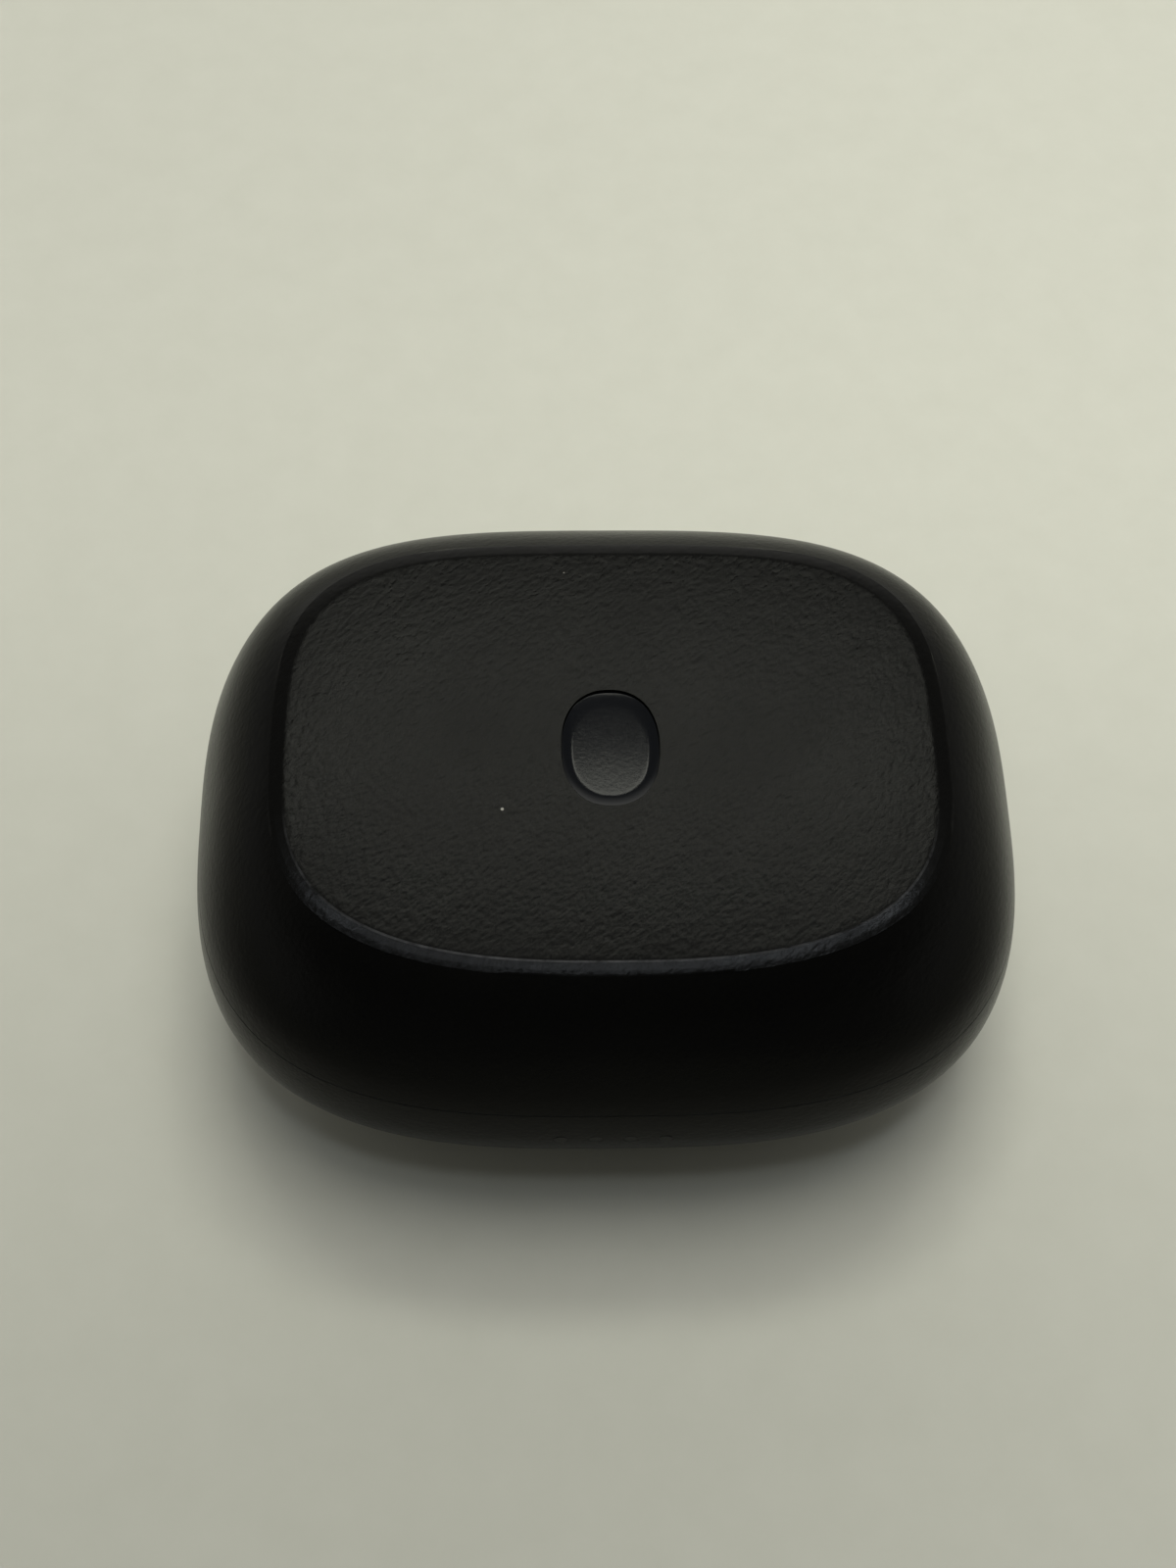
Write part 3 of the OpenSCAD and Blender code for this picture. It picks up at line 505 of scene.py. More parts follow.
def rim_rings(z, way):
    """A shell's rim at height z, from outside to inside, with rounded edges on the wall's side."""
    turned = rim_round * 0.29
    return [side_ring(z + way * turned, turned), side_ring(z, rim_round),
            side_ring(z, wall - rim_round), side_ring(z + way * turned, wall - turned)]


rim_z = seam_z + seam_gap / 2
flat_top = [top_ring(band_high[0] + gap, crown_z(band_high[0] + gap))
            for gap in (0.6, 1.2, 2.2, 3.6, 5.2, 7.2, 9.4)]
outside = [side_ring(z, 0) for z in side_levels(rim_z + rim_round, band_low[1] - band_round, 22)]
inside = [side_ring(z, wall) for z in spread(rim_z + rim_round, case_h, 12)]
lid = drum("lid_shell_outer",
           inside[::-1] + rim_rings(rim_z, 1)[::-1] + outside[:-1] + edge_band_rings() + flat_top)

# Everything outside the hinge line is cut back, so that the lid can swing
hinge_axis = Vector((0, (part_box("hinge_pin")[0].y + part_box("hinge_pin")[1].y) / 2 / mm, seam_z))
lid_swing = 95
relief_spare = 2
relief_angle = math.radians(lid_swing / 2 + relief_spare)
barrel_r = 1.3
barrel_l = 20
barrel_clear = 0.15
knuckle_gap = 0.2
arm_level = 18.6
arm_setback = 2.6
arm_y = half_d - inset_at(arm_level) - wall / math.cos(lean_at(arm_level)) - arm_setback
link_room = 1.2


def corners(node):
    """A frame node's lowest and highest corners, in millimetres."""
    return [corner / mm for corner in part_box(node)]


def hinge_cut():
    """A wedge that opens outwards from the hinge axis, and a round trough for the barrel."""
    reach = 12
    tip = 0.0005
    wedge = block("wedge", (-half_w, hinge_axis.y, seam_z - 1), (half_w, hinge_axis.y + reach, seam_z + 1))
    for vertex in wedge.data.vertices:
        out = vertex.co.y > hinge_axis.y + reach / 2
        vertex.co.z = seam_z + math.copysign(reach * math.tan(relief_angle) if out else tip,
                                             vertex.co.z - seam_z)
    end = Vector((barrel_l / 2 + knuckle_gap, 0, 0))
    return wedge, rod("trough", barrel_r + barrel_clear, hinge_axis - end, hinge_axis + end, 64)


def link_cut():
    """Room inside the rims for the links between the bracket arms and the knuckles."""
    half = barrel_l / 2 + knuckle_gap
    return block("link_room", (-half, arm_y, seam_z - link_room), (half, hinge_axis.y, seam_z + link_room))


inlay_w = (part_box("lid_inlay")[1].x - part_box("lid_inlay")[0].x) / mm
inlay_l = (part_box("lid_inlay")[1].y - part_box("lid_inlay")[0].y) / mm
inlay_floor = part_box("lid_inlay")[0].z / mm
inlay_squareness = 2.3
recess = drum("recess", [plan_ring(inlay_w / 2, inlay_l / 2, inlay_squareness, z)
                         for z in (inlay_floor, case_h + 1)], 96)
carve(lid, recess)
carve(lid, *hinge_cut(), link_cut())
put_in_place(lid, "lid", soft_touch, "soft_touch_black", "lid_shell", keep_flats=False)


# ---- Inlay ----
# A plain glossy black plate pressed into the lid's recess. Its face is a shallow scoop whose
# floor slopes down towards the front, where it curves up to the rim and catches the light.
gloss_black = grained("gloss_black", (0.002, 0.0022, 0.0028), (0.005, 0.006, 0.008), 0.13, 0.04,
                      3400, 0.003, Specular_IOR_Level=0.1)
inlay_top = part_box("lid_inlay")[1].z / mm
inlay_gap = 0.05
scoop_depth = 0.41
scoop_wall = 0.26


def inlay_ring(share, z):
    return plan_ring((inlay_w / 2 - inlay_gap) * share, (inlay_l / 2 - inlay_gap) * share,
                     inlay_squareness, z)


def scoop_ring(share):
    """The scoop's floor slopes down towards the front, and curves up to the rim near the edge."""
    outline = inlay_ring(share, 0)
    up_wall = max(0, (share - 1 + scoop_wall) / scoop_wall) ** 2

    def point(angle):
        x, y, _ = outline(angle)
        forward = 0.5 - y / inlay_l
        floor = scoop_depth * (1 - (1 - forward) ** 2)
        return x, y, inlay_top - 0.01 - floor * (1 - up_wall)
    return point


scoop = [scoop_ring(share) for share in (0.99, 0.97, 0.94, 0.91, 0.88, 0.85, 0.82, 0.79, 0.76, 0.73,
                                         0.7, 0.66, 0.6, 0.5, 0.38, 0.25, 0.12, 0.03)]
inlay = drum("inlay_plate", [inlay_ring(1, inlay_floor), inlay_ring(1, inlay_top - 0.06),
                             inlay_ring(0.997, inlay_top - 0.015)] + scoop, 144)
put_in_place(inlay, "lid", gloss_black, "gloss_black", "lid_inlay", keep_flats=False)


# ---- Base shell ----
# The lower half of the pebble, in the same paint: a bowl with a flat foot, holes for four
# light windows at the front, and the port hole under the hinge at the back.
base_rim_z = seam_z - seam_gap / 2
foot = [flat_ring(foot_inset + gap, belly_squareness, z)
        for gap, z in ((6, 0), (1.5, 0), (0.6, 0), (0.2, 0.02), (-0.15, 0.1))]
outside = [side_ring(z, 0) for z in side_levels(base_rim_z - rim_round, 0.4, 26)][::-1]
inside = [side_ring(z, wall) for z in spread(base_rim_z - rim_round, 0, 16)]
base = drum("base_shell_outer", foot + outside + rim_rings(base_rim_z, -1) + inside)
light_r = 0.45
light_z = 12.5
light_places = [(i - 1.5) * 2.6 for i in range(4)]
holes = [rod("hole", light_r + 0.05, (x, -half_d - 1, light_z), (x, -half_d + 4, light_z), 32)
         for x in light_places]
carve(base, *holes)
carve(base, *hinge_cut(), link_cut())
usb_low, usb_high = corners("usb_shell")
usb_middle = (usb_low + usb_high) / 2
usb_half = (usb_high - usb_low) / 2


def slot_bar(name, half_x, half_z, y0, y1):
    """A bar along Y with round sides, centred on the port."""
    bar = block(name, (usb_middle.x - half_x, y0, usb_middle.z - half_z),
                (usb_middle.x + half_x, y1, usb_middle.z + half_z))
    bpy.ops.object.mode_set(mode="EDIT")
    bpy.ops.mesh.select_all(action="DESELECT")
    bpy.ops.object.mode_set(mode="OBJECT")
    for edge in bar.data.edges:
        a, b = (bar.data.vertices[i].co for i in edge.vertices)
        edge.select = abs(a.y - b.y) > (y1 - y0) / 2
    bpy.ops.object.mode_set(mode="EDIT")
    bpy.ops.mesh.select_mode(type="EDGE")
    bpy.ops.mesh.bevel(offset=half_z * 0.999, segments=12)
    bpy.ops.mesh.remove_doubles(threshold=0.002)
    bpy.ops.object.mode_set(mode="OBJECT")
    return bar


carve(base, slot_bar("port_hole", usb_half.x + 0.2, usb_half.z + 0.2, usb_high.y - 4, half_d + 2))
screw_hole_r = 0.55
boss_r = 1.4
boss_x = 15.9
boss_y = corners("main_board")[0].y + 2.1
boss_foot = 2.12
board_low_z = corners("main_board")[0].z
carve(base, *[rod("boss", boss_r, (x, boss_y, boss_foot), (x, boss_y, board_low_z), 40)
              for x in (-boss_x, boss_x)], operation="UNION")
carve(base, *[rod("pilot", screw_hole_r, (x, boss_y, board_low_z - 3), (x, boss_y, board_low_z + 1), 32)
              for x in (-boss_x, boss_x)])
put_in_place(base, "base", soft_touch, "soft_touch_black", "base_shell", keep_flats=False)


# ---- Lid liner ----
# The moulding that closes the lid from inside, in black ABS with a fine spark-eroded grain:
# a flange that drops into the shell, and two domed pockets that cover the earbuds.
inner_black = grained("inner_black", (0.008, 0.008, 0.008), (0.015, 0.015, 0.0145), 0.42, 0.06, 4200, 0.005,
                      Specular_IOR_Level=0.35)
inner_gap = 0.12
well_x = 14.2
well_y = -2
well_r = 8
well_lobe = 4.3
well_turn = math.radians(105)
well_wall = 1.1
well_bowl = 5
well_lip = 0.6
pocket_z = 22.8


def inner_ring(level, gap, z):
    """Outline at height z of a flat piece that fits the inside of the shell at a level."""
    inset = inset_at(level) + wall / math.cos(lean_at(level)) + inner_gap + gap
    return plan_ring(half_w - inset, half_d - inset, squareness_at(level), z)


def inner_plate(name, level, low_z, high_z, chamfer=0.14):
    """A flat plate with softened edges that drops into the shell."""
    return drum(name, [inner_ring(level, gap, z) for gap, z in (
        (chamfer, low_z), (0, low_z + chamfer), (0, high_z - chamfer),
        (chamfer * 0.3, high_z - chamfer * 0.3), (chamfer, high_z))])


def well_ring(side, grow, z):
    """Outline of a well: round, with a rounded lobe for the earbud's nozzle."""
    def point(angle):
        turned = angle if side > 0 else math.pi - angle
        reach = well_r + grow + well_lobe * max(0, math.cos(turned - well_turn)) ** 3
        return side * well_x + reach * math.cos(angle), well_y + reach * math.sin(angle), z
    return point


def bowl_in(height, radius):
    """How much a bowl's side closes in at a height above its floor."""
    return 0 if height >= radius else radius * (1 - math.sqrt(1 - (1 - height / radius) ** 2))


def bowl(name, side, floor_z, open_z, radius, grow=0.0, lip=0.0):
    """A well's solid from its floor to its open end, which a lip flares out."""
    way = math.copysign(1, open_z - floor_z)
    rings = []
    for step in range(15):
        height = radius * (1 - math.cos(math.pi / 2 * step / 14))
        rings.append(well_ring(side, grow - bowl_in(height, radius), floor_z + way * height))
    if lip:
        for step in range(7):
            height = lip * step / 6
            rings.append(well_ring(side, grow + bowl_in(lip - height, lip), open_z + way * (height - lip)))
    rings.append(well_ring(side, grow + lip, open_z + way * (0.3 if lip else 0)))
    return drum(name, rings, 120)


liner_low, liner_high = corners("lid_liner")
liner_top = liner_low.z + 1
liner = inner_plate("lid_liner_moulding", liner_top, liner_low.z, liner_top)
carve(liner, *[bowl("dome", side, liner_high.z, liner_low.z + 0.5, well_bowl + well_wall, well_wall)
               for side in (-1, 1)], operation="UNION")
carve(liner, *[bowl("pocket", side, pocket_z, liner_low.z, well_bowl, 0, well_lip) for side in (-1, 1)])
bracket_screw_y = (corners("lid_hinge_bracket")[0].y + arm_y) / 2
lid_screw_x = 7
carve(liner, block("link_slot", (-barrel_l / 2 - 0.3, arm_y - 0.3, liner_low.z - 1),
                   (barrel_l / 2 + 0.3, half_d, liner_top + 1)),
      *[rod("hole", screw_hole_r, (x, bracket_screw_y, liner_low.z + 0.2),
            (x, bracket_screw_y, liner_top + 1), 24) for x in (-lid_screw_x, lid_screw_x)])
put_in_place(liner, "lid", inner_black, "inner_black", "lid_liner")


# ---- Lid hinge bracket ----
# A stiff plate of glass-filled nylon, screwed to the liner. Two arms reach down from it and
# back to the outer knuckles of the hinge barrel.
bracket_black = grained("bracket_black", (0.011, 0.011, 0.012), (0.024, 0.024, 0.025), 0.5, 0.08, 2600, 0.004,
                        stretch=(1, 2, 1), Specular_IOR_Level=0.4)
bracket_t = 1.2
arm_t = 2
link_t = 0.95
link_gap = 0.155
pin_r = 0.5
side_knuckle = (4.2, barrel_l / 2)
edge_break = 0.12


def knuckle(name, start_x, end_x):
    start, end = Vector((start_x, 0, 0)), Vector((end_x, 0, 0))
    return rod(name, barrel_r, hinge_axis + start, hinge_axis + end, 72, 0.1)


bracket_front = corners("lid_hinge_bracket")[0].y
bracket = block("lid_hinge_plate", (-barrel_l / 2, bracket_front, liner_top),
                (barrel_l / 2, arm_y + arm_t, liner_top + bracket_t), edge_break)
welds = []
bores = []
for side in (-1, 1):
    near, far = sorted(side * x for x in side_knuckle)
    welds.append(block("arm", (near + 0.02, arm_y, seam_z + link_gap),
                       (far - 0.02, arm_y + arm_t - 0.02, liner_top + 0.2), edge_break))
    welds.append(block("link", (near + 0.01, arm_y + 0.3, seam_z + link_gap + 0.005),
                       (far - 0.01, hinge_axis.y, seam_z + link_gap + link_t), 0.06))
    welds.append(knuckle("knuckle", near, far))
    bores.append(rod("hole", screw_hole_r + 0.1, (side * lid_screw_x, bracket_screw_y, liner_top - 1),
                     (side * lid_screw_x, bracket_screw_y, liner_top + 2), 32))
bore_end = Vector((barrel_l / 2 + 1, 0, 0))
bores.append(rod("bore", pin_r + 0.03, hinge_axis - bore_end, hinge_axis + bore_end, 48))
carve(bracket, *welds, operation="UNION")
carve(bracket, *bores)
put_in_place(bracket, "lid", bracket_black, "bracket_black", "lid_hinge_bracket")


# ---- Bracket screws ----
# Small pan-head screws in plated steel, with a cross recess and a cut thread. Two hold each
# hinge bracket, and two more hold the main board to its bosses.
screw_steel = grained("screw_steel", (0.42, 0.42, 0.41), (0.6, 0.59, 0.57), 0.3, 0.08, 3000, 0.001,
                      Metallic=1)
screw_head_r = 1.1
screw_head_h = 0.6


def screw(length):
    """A screw with its head up, and the head's underside at the origin."""
    pitch = 0.24
    thread = []
    for turn in range(int((length - 0.5) / pitch)):
        at = -length + 0.25 + turn * pitch
        thread += [(0.44, at), (0.545, at + 0.1), (0.545, at + 0.14)]
    outline = [(0.15, -length), (0.4, -length + 0.15)] + thread + [
        (0.5, -0.1), (0.5, 0), (1.03, 0), (screw_head_r, 0.07), (screw_head_r, 0.3), (1.04, 0.42),
        (0.9, 0.52), (0.65, 0.58), (0.3, screw_head_h)]
    made = drum("screw", [plan_ring(radius, radius, 2, z) for radius, z in outline], 36)
    return carve(made, block("cross", (-0.7, -0.14, 0.3), (0.7, 0.14, 1)),
                 block("cross", (-0.14, -0.7, 0.3), (0.14, 0.7, 1)))


def copies(name, piece, *places):
    """Puts a piece at each place, each with a mesh of its own, and joins them into one piece."""
    made = []
    for spot in places:
        copy = piece.copy()
        copy.data = piece.data.copy()
        bpy.context.scene.collection.objects.link(copy)
        copy.data.transform(spot)
        made.append(copy)
    bpy.data.objects.remove(piece)
    bpy.ops.object.select_all(action="DESELECT")
    for copy in made:
        copy.select_set(True)
    bpy.context.view_layer.objects.active = made[0]
    bpy.ops.object.join()
    made[0].name = name
    return made[0]


lid_screws = copies("lid_bracket_screw_pair", screw(bracket_t + 0.6),
                    *[Matrix.Translation((x, bracket_screw_y, liner_top + bracket_t))
                      for x in (-lid_screw_x, lid_screw_x)])
put_in_place(lid_screws, "lid", screw_steel, "screw_steel", "lid_bracket_screws")


# ---- Magnets ----
# Nickel-plated neodymium. Bars hold the lid shut, discs hold the earbuds down in their wells,
# and one disc in the lid tells the sensor on the board that the lid is closed.
magnet_nickel = grained("magnet_nickel", (0.5, 0.48, 0.44), (0.66, 0.64, 0.58), 0.2, 0.07, 1800, 0.0012,
                        Metallic=1)
for body in ("lid", "base"):
    for side in ("left", "right"):
        node = f"{body}_magnet_{side}"
        bar = block(f"{body}_latch_bar_{side}", *corners(node), 0.25)
        put_in_place(bar, body, magnet_nickel, "magnet_nickel", node)
disc_edge = 0.18
disc_low, disc_high = corners("lid_sensor_magnet")
disc_middle = (disc_low + disc_high) / 2
sensor_disc = rod("lid_sensor_disc", (disc_high.x - disc_low.x) / 2,
                  (disc_middle.x, disc_middle.y, disc_low.z), (disc_middle.x, disc_middle.y, disc_high.z),
                  64, disc_edge)
put_in_place(sensor_disc, "lid", magnet_nickel, "magnet_nickel", "lid_sensor_magnet")
hold_r = 2.4
hold_t = 1.1
for side, word in ((-1, "left"), (1, "right")):
    low, high = corners(f"well_magnets_{word}")
    hold_z = (low.z + high.z) / 2
    front = Vector((side * well_x, low.y, hold_z))
    middle = Vector((high.x if side < 0 else low.x, high.y - hold_r, hold_z))
    discs = rod(f"well_magnet_pair_{word}", hold_r, front, front + Vector((0, hold_t, 0)), 72, disc_edge)
    carve(discs, rod("disc", hold_r, middle, middle + Vector((side * hold_t, 0, 0)), 72, disc_edge),
          operation="UNION")
    put_in_place(discs, "base", magnet_nickel, "magnet_nickel", f"well_magnets_{word}")


# ---- Cradle tray ----
# The deck that closes the base, in the same grained ABS as the liner, with two bowl-shaped
# wells for the earbuds. Each well has a soft lip and two holes for the sprung contacts.
deck_low = 14.3
deck_high = 15.5
well_floor = 7.5
contact_places = [(side * (well_x + 5), well_y + step * 2.6) for side in (-1, 1) for step in (-1, 1)]
tray = inner_plate("cradle_moulding", deck_high, deck_low, deck_high)
carve(tray, *[bowl("cup", side, well_floor - well_wall, deck_high - 0.6, well_bowl + well_wall, well_wall)
              for side in (-1, 1)], operation="UNION")
carve(tray, *[bowl("well", side, well_floor, deck_high, well_bowl, 0, well_lip) for side in (-1, 1)])
base_screw_x = 5.2
mid_knuckle = 4
slot_x = mid_knuckle + 0.3
carve(tray, *hinge_cut(),
      block("link_slot", (-slot_x, arm_y - 0.3, deck_low - 1), (slot_x, half_d, deck_high + 1)),
      *[rod("hole", 1, (x, y, 3.5), (x, y, 11.5), 40) for x, y in contact_places],
      *[rod("hole", screw_hole_r, (x, bracket_screw_y, deck_low - 1),
            (x, bracket_screw_y, deck_low + 0.7), 24) for x in (-base_screw_x, base_screw_x)])
put_in_place(tray, "base", inner_black, "inner_black", "cradle_tray")


# ---- Base hinge bracket ----
# The lid bracket's partner, screwed up under the deck, with one arm and the middle knuckle
# that grips the pin.
plate_z = corners("base_hinge_bracket")[0].z
plate_x = 7
base_bracket = block("base_hinge_plate", (-plate_x, bracket_front, plate_z),
                     (plate_x, arm_y + arm_t, plate_z + bracket_t), edge_break)
carve(base_bracket,
      block("arm", (-mid_knuckle, arm_y, plate_z + 0.1), (mid_knuckle, arm_y + arm_t, seam_z - link_gap),
            edge_break),
      block("link", (-mid_knuckle + 0.01, arm_y + 0.3, seam_z - link_gap - link_t),
            (mid_knuckle - 0.01, hinge_axis.y, seam_z - link_gap - 0.005), 0.06),
      knuckle("knuckle", -mid_knuckle, mid_knuckle), operation="UNION")
carve(base_bracket, rod("bore", pin_r, hinge_axis - bore_end, hinge_axis + bore_end, 48),
      *[rod("hole", screw_hole_r + 0.1, (x, bracket_screw_y, plate_z - 1),
            (x, bracket_screw_y, plate_z + 2), 32) for x in (-base_screw_x, base_screw_x)])
put_in_place(base_bracket, "base", bracket_black, "bracket_black", "base_hinge_bracket")
head_down = Matrix.Rotation(math.pi, 4, "X")
base_screws = copies("base_bracket_screw_pair", screw(bracket_t + 0.7),
                     *[Matrix.Translation((x, bracket_screw_y, plate_z)) @ head_down
                       for x in (-base_screw_x, base_screw_x)])
put_in_place(base_screws, "base", screw_steel, "screw_steel", "base_bracket_screws")


# ---- Hinge pin ----
# A ground steel pin with broken edges, pressed through the middle knuckle. The lid's two
# knuckles turn on its ends.
pin_steel = grained("pin_steel", (0.5, 0.5, 0.5), (0.66, 0.65, 0.64), 0.24, 0.06, 2200, 0.0008,
                    stretch=(8, 1, 1), Metallic=1)
pin_end = Vector((corners("hinge_pin")[1].x, 0, 0))
pin = rod("hinge_pin_ground", pin_r, hinge_axis - pin_end, hinge_axis + pin_end, 48, 0.12)
put_in_place(pin, "base", pin_steel, "pin_steel", "hinge_pin")


# ---- Battery ----
# A flat lithium pouch cell in laminated foil, stuck down on a foam pad, with a taped end from
# which two leads run to a plug on the board.
def dress(finish, *nodes):
    """Gives frame pieces, whose shape is already right, their finish."""
    for node in nodes:
        for surface_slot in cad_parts[node].material_slots:
            surface_slot.material = finish


def banded(name, finish, axis, edge, way, colour):
    """A copy of a finish with a plain colour beyond an edge along an axis."""
    material = finish.copy()
    material.name = name
    tree = material.node_tree
    spot = place(tree, "SeparateXYZ", {"Vector": place(tree, "TexCoord").outputs["Object"]}).outputs
    beyond = reckon(tree, "GREATER_THAN" if way > 0 else "LESS_THAN", spot[axis], edge)
    return overlay(material, beyond, colour)


battery_foil = grained("battery_foil", (0.55, 0.56, 0.58), (0.74, 0.75, 0.77), 0.34, 0.08, 420, 0.02,
                       Metallic=0.85)
cell_low, cell_high = corners("battery_cell")
tape = banded("polyimide_tape", battery_foil, "Y", (cell_high.y - 3.2) * mm, 1, (0.42, 0.2, 0.03))
cell_half = (cell_high - cell_low) / 2


def cell_ring(gap, z):
    return plan_ring(cell_half.x - gap, cell_half.y - gap, 9, z)


pouch = drum("battery_pouch", [cell_ring(gap, cell_low.z + z) for gap, z in (
    (1.6, 0), (0.7, 0.03), (0.36, 0.16), (0.24, 0.5), (0.22, 0.95), (0.02, 1), (0, 1.05), (0, 1.3),
    (0.02, 1.35), (0.2, 1.42), (0.22, 1.9), (0.22, 3.3), (0.3, 3.68), (0.52, 3.88), (0.95, 3.96),
    (2.2, 4), (5, 4))], 160)
put_in_place(pouch, "base", tape, "battery_foil", "battery_cell")
adhesive_foam = grained("adhesive_foam", (0.7, 0.69, 0.64), (0.82, 0.81, 0.76), 0.85, 0.06, 1500, 0.02)
dress(adhesive_foam, "battery_pad")
lead_skin = grained("lead_silicone", (0.3, 0.012, 0.012), (0.42, 0.02, 0.018), 0.42, 0.05, 1400, 0.002)
dress(banded("lead_pair", lead_skin, "X", 5 * mm, -1, (0.012, 0.012, 0.012)), "battery_leads")
connector_white = grained("connector_nylon", (0.68, 0.66, 0.58), (0.78, 0.76, 0.69), 0.4, 0.06, 1200, 0.002)
plug_low, plug_high = corners("battery_plug")
plug = block("battery_connector", plug_low, plug_high, 0.12)
plug_x = (plug_low.x + plug_high.x) / 2
carve(plug, *[block("crimp_window", (plug_x + x - 0.35, plug_low.y + 0.7, plug_low.z - 1),
                    (plug_x + x + 0.35, plug_low.y + 1.5, plug_low.z + 0.35)) for x in (-1.1, 1.1)])
put_in_place(plug, "base", connector_white, "connector_white", "battery_plug")


# ---- Boards ----
# Glass-epoxy boards under green solder mask: the main board at the back of the base, a small
# one behind the light windows, and one under each pair of charging contacts.
board_green = grained("solder_mask", (0.004, 0.05, 0.016), (0.007, 0.075, 0.024), 0.28, 0.06, 1500, 0.001)
tree = board_green.node_tree
position = place(tree, "TexCoord").outputs["Object"]
tracks = place(tree, "TexBrick", {"Vector": position, "Scale": 420, "Mortar Size": 0.06, "Mortar Smooth": 0.3,
                                  "Brick Width": 0.9, "Row Height": 0.22}, offset=0.37, squash=1.6)
overlay(board_green, tracks.outputs["Fac"], (0.02, 0.14, 0.045))
rounds = place(tree, "TexVoronoi", {"Vector": position, "Scale": 520, "Randomness": 0.8})
overlay(board_green, reckon(tree, "LESS_THAN", rounds.outputs["Distance"], 0.13), (0.5, 0.36, 0.12))
dress(board_green, "main_board", "light_board", "contact_board_left", "contact_board_right")
board_top = corners("main_board")[1].z
board_screw_pair = copies("board_screw_pair", screw(2.8),
                          *[Matrix.Translation((x, boss_y, board_top)) for x in (-boss_x, boss_x)])
put_in_place(board_screw_pair, "base", screw_steel, "screw_steel", "board_screws")


# ---- Chips ----
# Parts soldered to the main board: two black chips with a notch at pin one, a ferrite coil,
# ceramic capacitors and resistors with tinned ends, and the sensor for the lid.
chip_black = grained("chip_epoxy", (0.008, 0.008, 0.009), (0.018, 0.018, 0.019), 0.45, 0.08, 2600, 0.003)
tin = (0.62, 0.6, 0.56)
for node in ("charge_chip", "control_chip", "hall_sensor"):
    low, high = corners(node)
    chip = block(node + "_package", low, high, 0.06)
    mark_x, mark_y = low.x + 0.55, low.y + 0.55
    carve(chip, rod("pin_one", 0.22, (mark_x, mark_y, high.z - 0.08), (mark_x, mark_y, high.z + 1), 24))
    put_in_place(chip, "base", chip_black, "chip_black", node)


def capped(name, finish, axis, first, pitch, half_body, colour, metallic=1.0):
    """A copy of a finish for a row of parts along an axis, with a cap on both ends of each."""
    material = finish.copy()
    material.name = name
    tree = material.node_tree
    spot = place(tree, "SeparateXYZ", {"Vector": place(tree, "TexCoord").outputs["Object"]}).outputs
    value = reckon(tree, "ABSOLUTE", spot[axis])
    for operation, amount in (("ADD", pitch / 2 - first), ("FLOORED_MODULO", pitch), ("SUBTRACT", pitch / 2),
                              ("ABSOLUTE", 0), ("GREATER_THAN", half_body)):
        value = reckon(tree, operation, value, amount * mm)
    return overlay(material, value, colour, metallic)


ferrite_grey = grained("ferrite", (0.05, 0.05, 0.055), (0.1, 0.1, 0.105), 0.6, 0.08, 1300, 0.008)
coil_low, coil_high = corners("power_inductor")
coil = block("power_inductor_body", coil_low, coil_high, 0.28)
coil_x, coil_y, _ = (coil_low + coil_high) / 2
carve(coil, rod("well", 0.9, (coil_x, coil_y, coil_high.z - 0.12), (coil_x, coil_y, 20), 48))
put_in_place(coil, "base", ferrite_grey, "ferrite_grey", "power_inductor")
capacitor = grained("capacitor_ceramic", (0.3, 0.2, 0.11), (0.42, 0.29, 0.17), 0.4, 0.06, 1500, 0.002)
dress(capped("capacitor", capacitor, "X", 6.4, 2, 0.45, tin), "chip_capacitors")
resistor = grained("resistor_body", (0.01, 0.01, 0.012), (0.02, 0.02, 0.024), 0.35, 0.06, 1500, 0.002)
dress(capped("resistor", resistor, "Y", corners("chip_resistors")[0].y + 0.6, 2, 0.38, tin), "chip_resistors")


# ---- USB-C inlet ----
# A drawn steel shell with a rolled mouth, and in it a black tongue with twelve gold contacts
# on each face. It is soldered to the board and stands in the port hole.
usb_steel = grained("usb_steel", (0.46, 0.46, 0.45), (0.6, 0.59, 0.58), 0.26, 0.07, 1600, 0.0015,
                    stretch=(1, 7, 1), Metallic=1)
usb_sheet = 0.25
tongue_start = usb_low.y + 1.4
mouth_x, mouth_z = usb_half.x - usb_sheet, usb_half.z - usb_sheet
blade_x, blade_z = 3.35, 0.35
shell = slot_bar("usb_sleeve", usb_half.x, usb_half.z, usb_low.y, usb_high.y)
carve(shell, slot_bar("mouth", mouth_x, mouth_z, usb_low.y - 1, usb_high.y + 1))
soften(shell, 0.1, 3, 60)
put_in_place(shell, "base", usb_steel, "usb_steel", "usb_shell")
tongue = slot_bar("usb_tongue_moulding", mouth_x, mouth_z, usb_low.y, tongue_start)
carve(tongue, block("blade", (-blade_x, tongue_start - 0.4, usb_middle.z - blade_z),
                    (blade_x, corners("usb_tongue")[1].y, usb_middle.z + blade_z), 0.12), operation="UNION")
put_in_place(tongue, "base", chip_black, "chip_black", "usb_tongue")
contact_gold = grained("contact_gold", (0.72, 0.47, 0.17), (0.86, 0.6, 0.26), 0.22, 0.06, 2000, 0.0008,
                       Metallic=1)
dress(contact_gold, "usb_contacts")


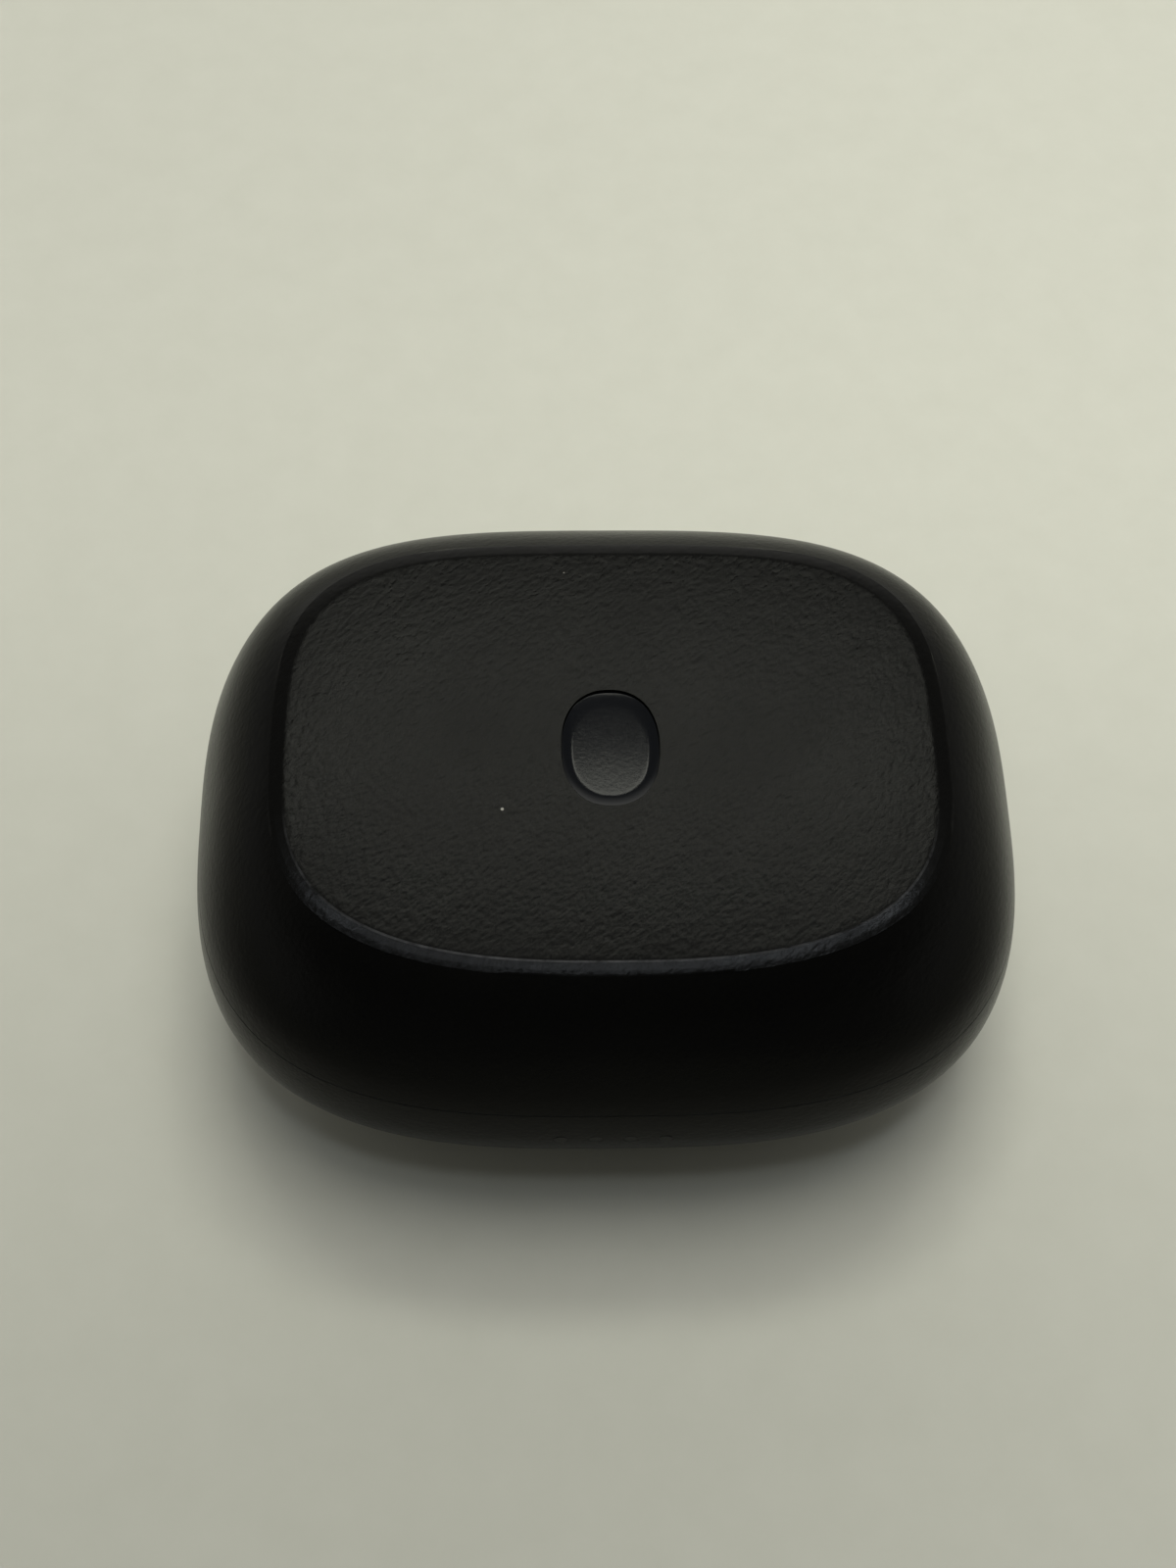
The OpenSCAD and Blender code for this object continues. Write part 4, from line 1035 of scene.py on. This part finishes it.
# ---- Indicator lights ----
# Four tiny lamps on their board behind a smoked light guide. The guide's posts end in the
# shell's holes, finished as dark as the paint, so that they hardly show while unlit.
smoked_light = grained("smoked_light_guide", (0.0035, 0.0035, 0.0035), (0.0065, 0.0065, 0.006), 0.3, 0.04,
                       5200, 0.001, Specular_IOR_Level=0.08)
guide_low, guide_high = corners("light_guide")
bar_front = guide_high.y - 1.4
guide = block("light_guide_bar", (guide_low.x, bar_front, light_z - 0.6),
              (guide_high.x, guide_high.y, light_z + 0.6), 0.15)
post_front = inset_at(light_z) - half_d + 0.012
carve(guide, *[rod("post", light_r + 0.049, (x, post_front, light_z), (x, bar_front + 0.4, light_z), 40)
               for x in light_places], operation="UNION")
put_in_place(guide, "base", smoked_light, "smoked_light", "light_guide")
lamp_yellow = grained("lamp_phosphor", (0.62, 0.5, 0.08), (0.72, 0.6, 0.14), 0.5, 0.05, 1500, 0.002)
dress(capped("lamp", lamp_yellow, "X", light_places[0], light_places[1] - light_places[0], 0.42,
             (0.75, 0.74, 0.7), 0), "indicator_lights")
flex_amber = grained("flex_polyimide", (0.34, 0.15, 0.025), (0.46, 0.22, 0.045), 0.32, 0.06, 900, 0.0015)
tree = flex_amber.node_tree
lines = place(tree, "TexWave", {"Vector": place(tree, "TexCoord").outputs["Object"], "Scale": 500,
                                "Distortion": 0}, bands_direction="X")
overlay(flex_amber, reckon(tree, "GREATER_THAN", lines.outputs["Fac"], 0.6), (0.5, 0.3, 0.12))
dress(flex_amber, "light_flex", "contact_flex_left", "contact_flex_right")


# ---- Charging contacts ----
# Gold-plated brass plungers in crimped gold barrels, each on its own steel coil spring. The
# tips stand up through the well floors and press on the pads of the earbuds.
dress(contact_gold, "contact_sleeves", *[f"plunger_{side}_{end}" for side in ("left", "right")
                                         for end in ("front", "rear")])
spring_steel = grained("spring_steel", (0.36, 0.36, 0.37), (0.5, 0.5, 0.5), 0.3, 0.06, 2400, 0.0008,
                       Metallic=1)
wire_share = 0.075
end_turns = 0.75
open_turns = 4
coil_steps = 24


def wound(name, low, high):
    """A compression spring in a box, wound from round wire, with a closed turn at each end."""
    middle_x, middle_y = (low.x + high.x) / 2, (low.y + high.y) / 2
    wire = (high.x - low.x) * wire_share
    coil_r = (high.x - low.x) / 2 - wire
    end_rise = end_turns * wire * 2.1
    open_rise = high.z - low.z - 2 * wire - 2 * end_rise

    def section(step):
        turn = step / coil_steps
        opened = min(max(turn - end_turns, 0), open_turns)
        closed = turn - opened
        z = low.z + wire + opened / open_turns * open_rise + closed / end_turns * end_rise

        def point(angle):
            reach = coil_r + wire * math.cos(angle)
            swing = 2 * math.pi * turn
            return (middle_x + reach * math.cos(swing), middle_y + reach * math.sin(swing),
                    z + wire * math.sin(angle))
        return point
    steps = round((open_turns + 2 * end_turns) * coil_steps)
    return drum(name, [section(step) for step in range(steps + 1)], 12)


for side in ("left", "right"):
    for end in ("front", "rear"):
        node = f"spring_{side}_{end}"
        low, high = corners(node)
        spring = wound(node + "_coil", low, high)
        put_in_place(spring, "base", spring_steel, "spring_steel", node, keep_flats=False)
        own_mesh(spring)
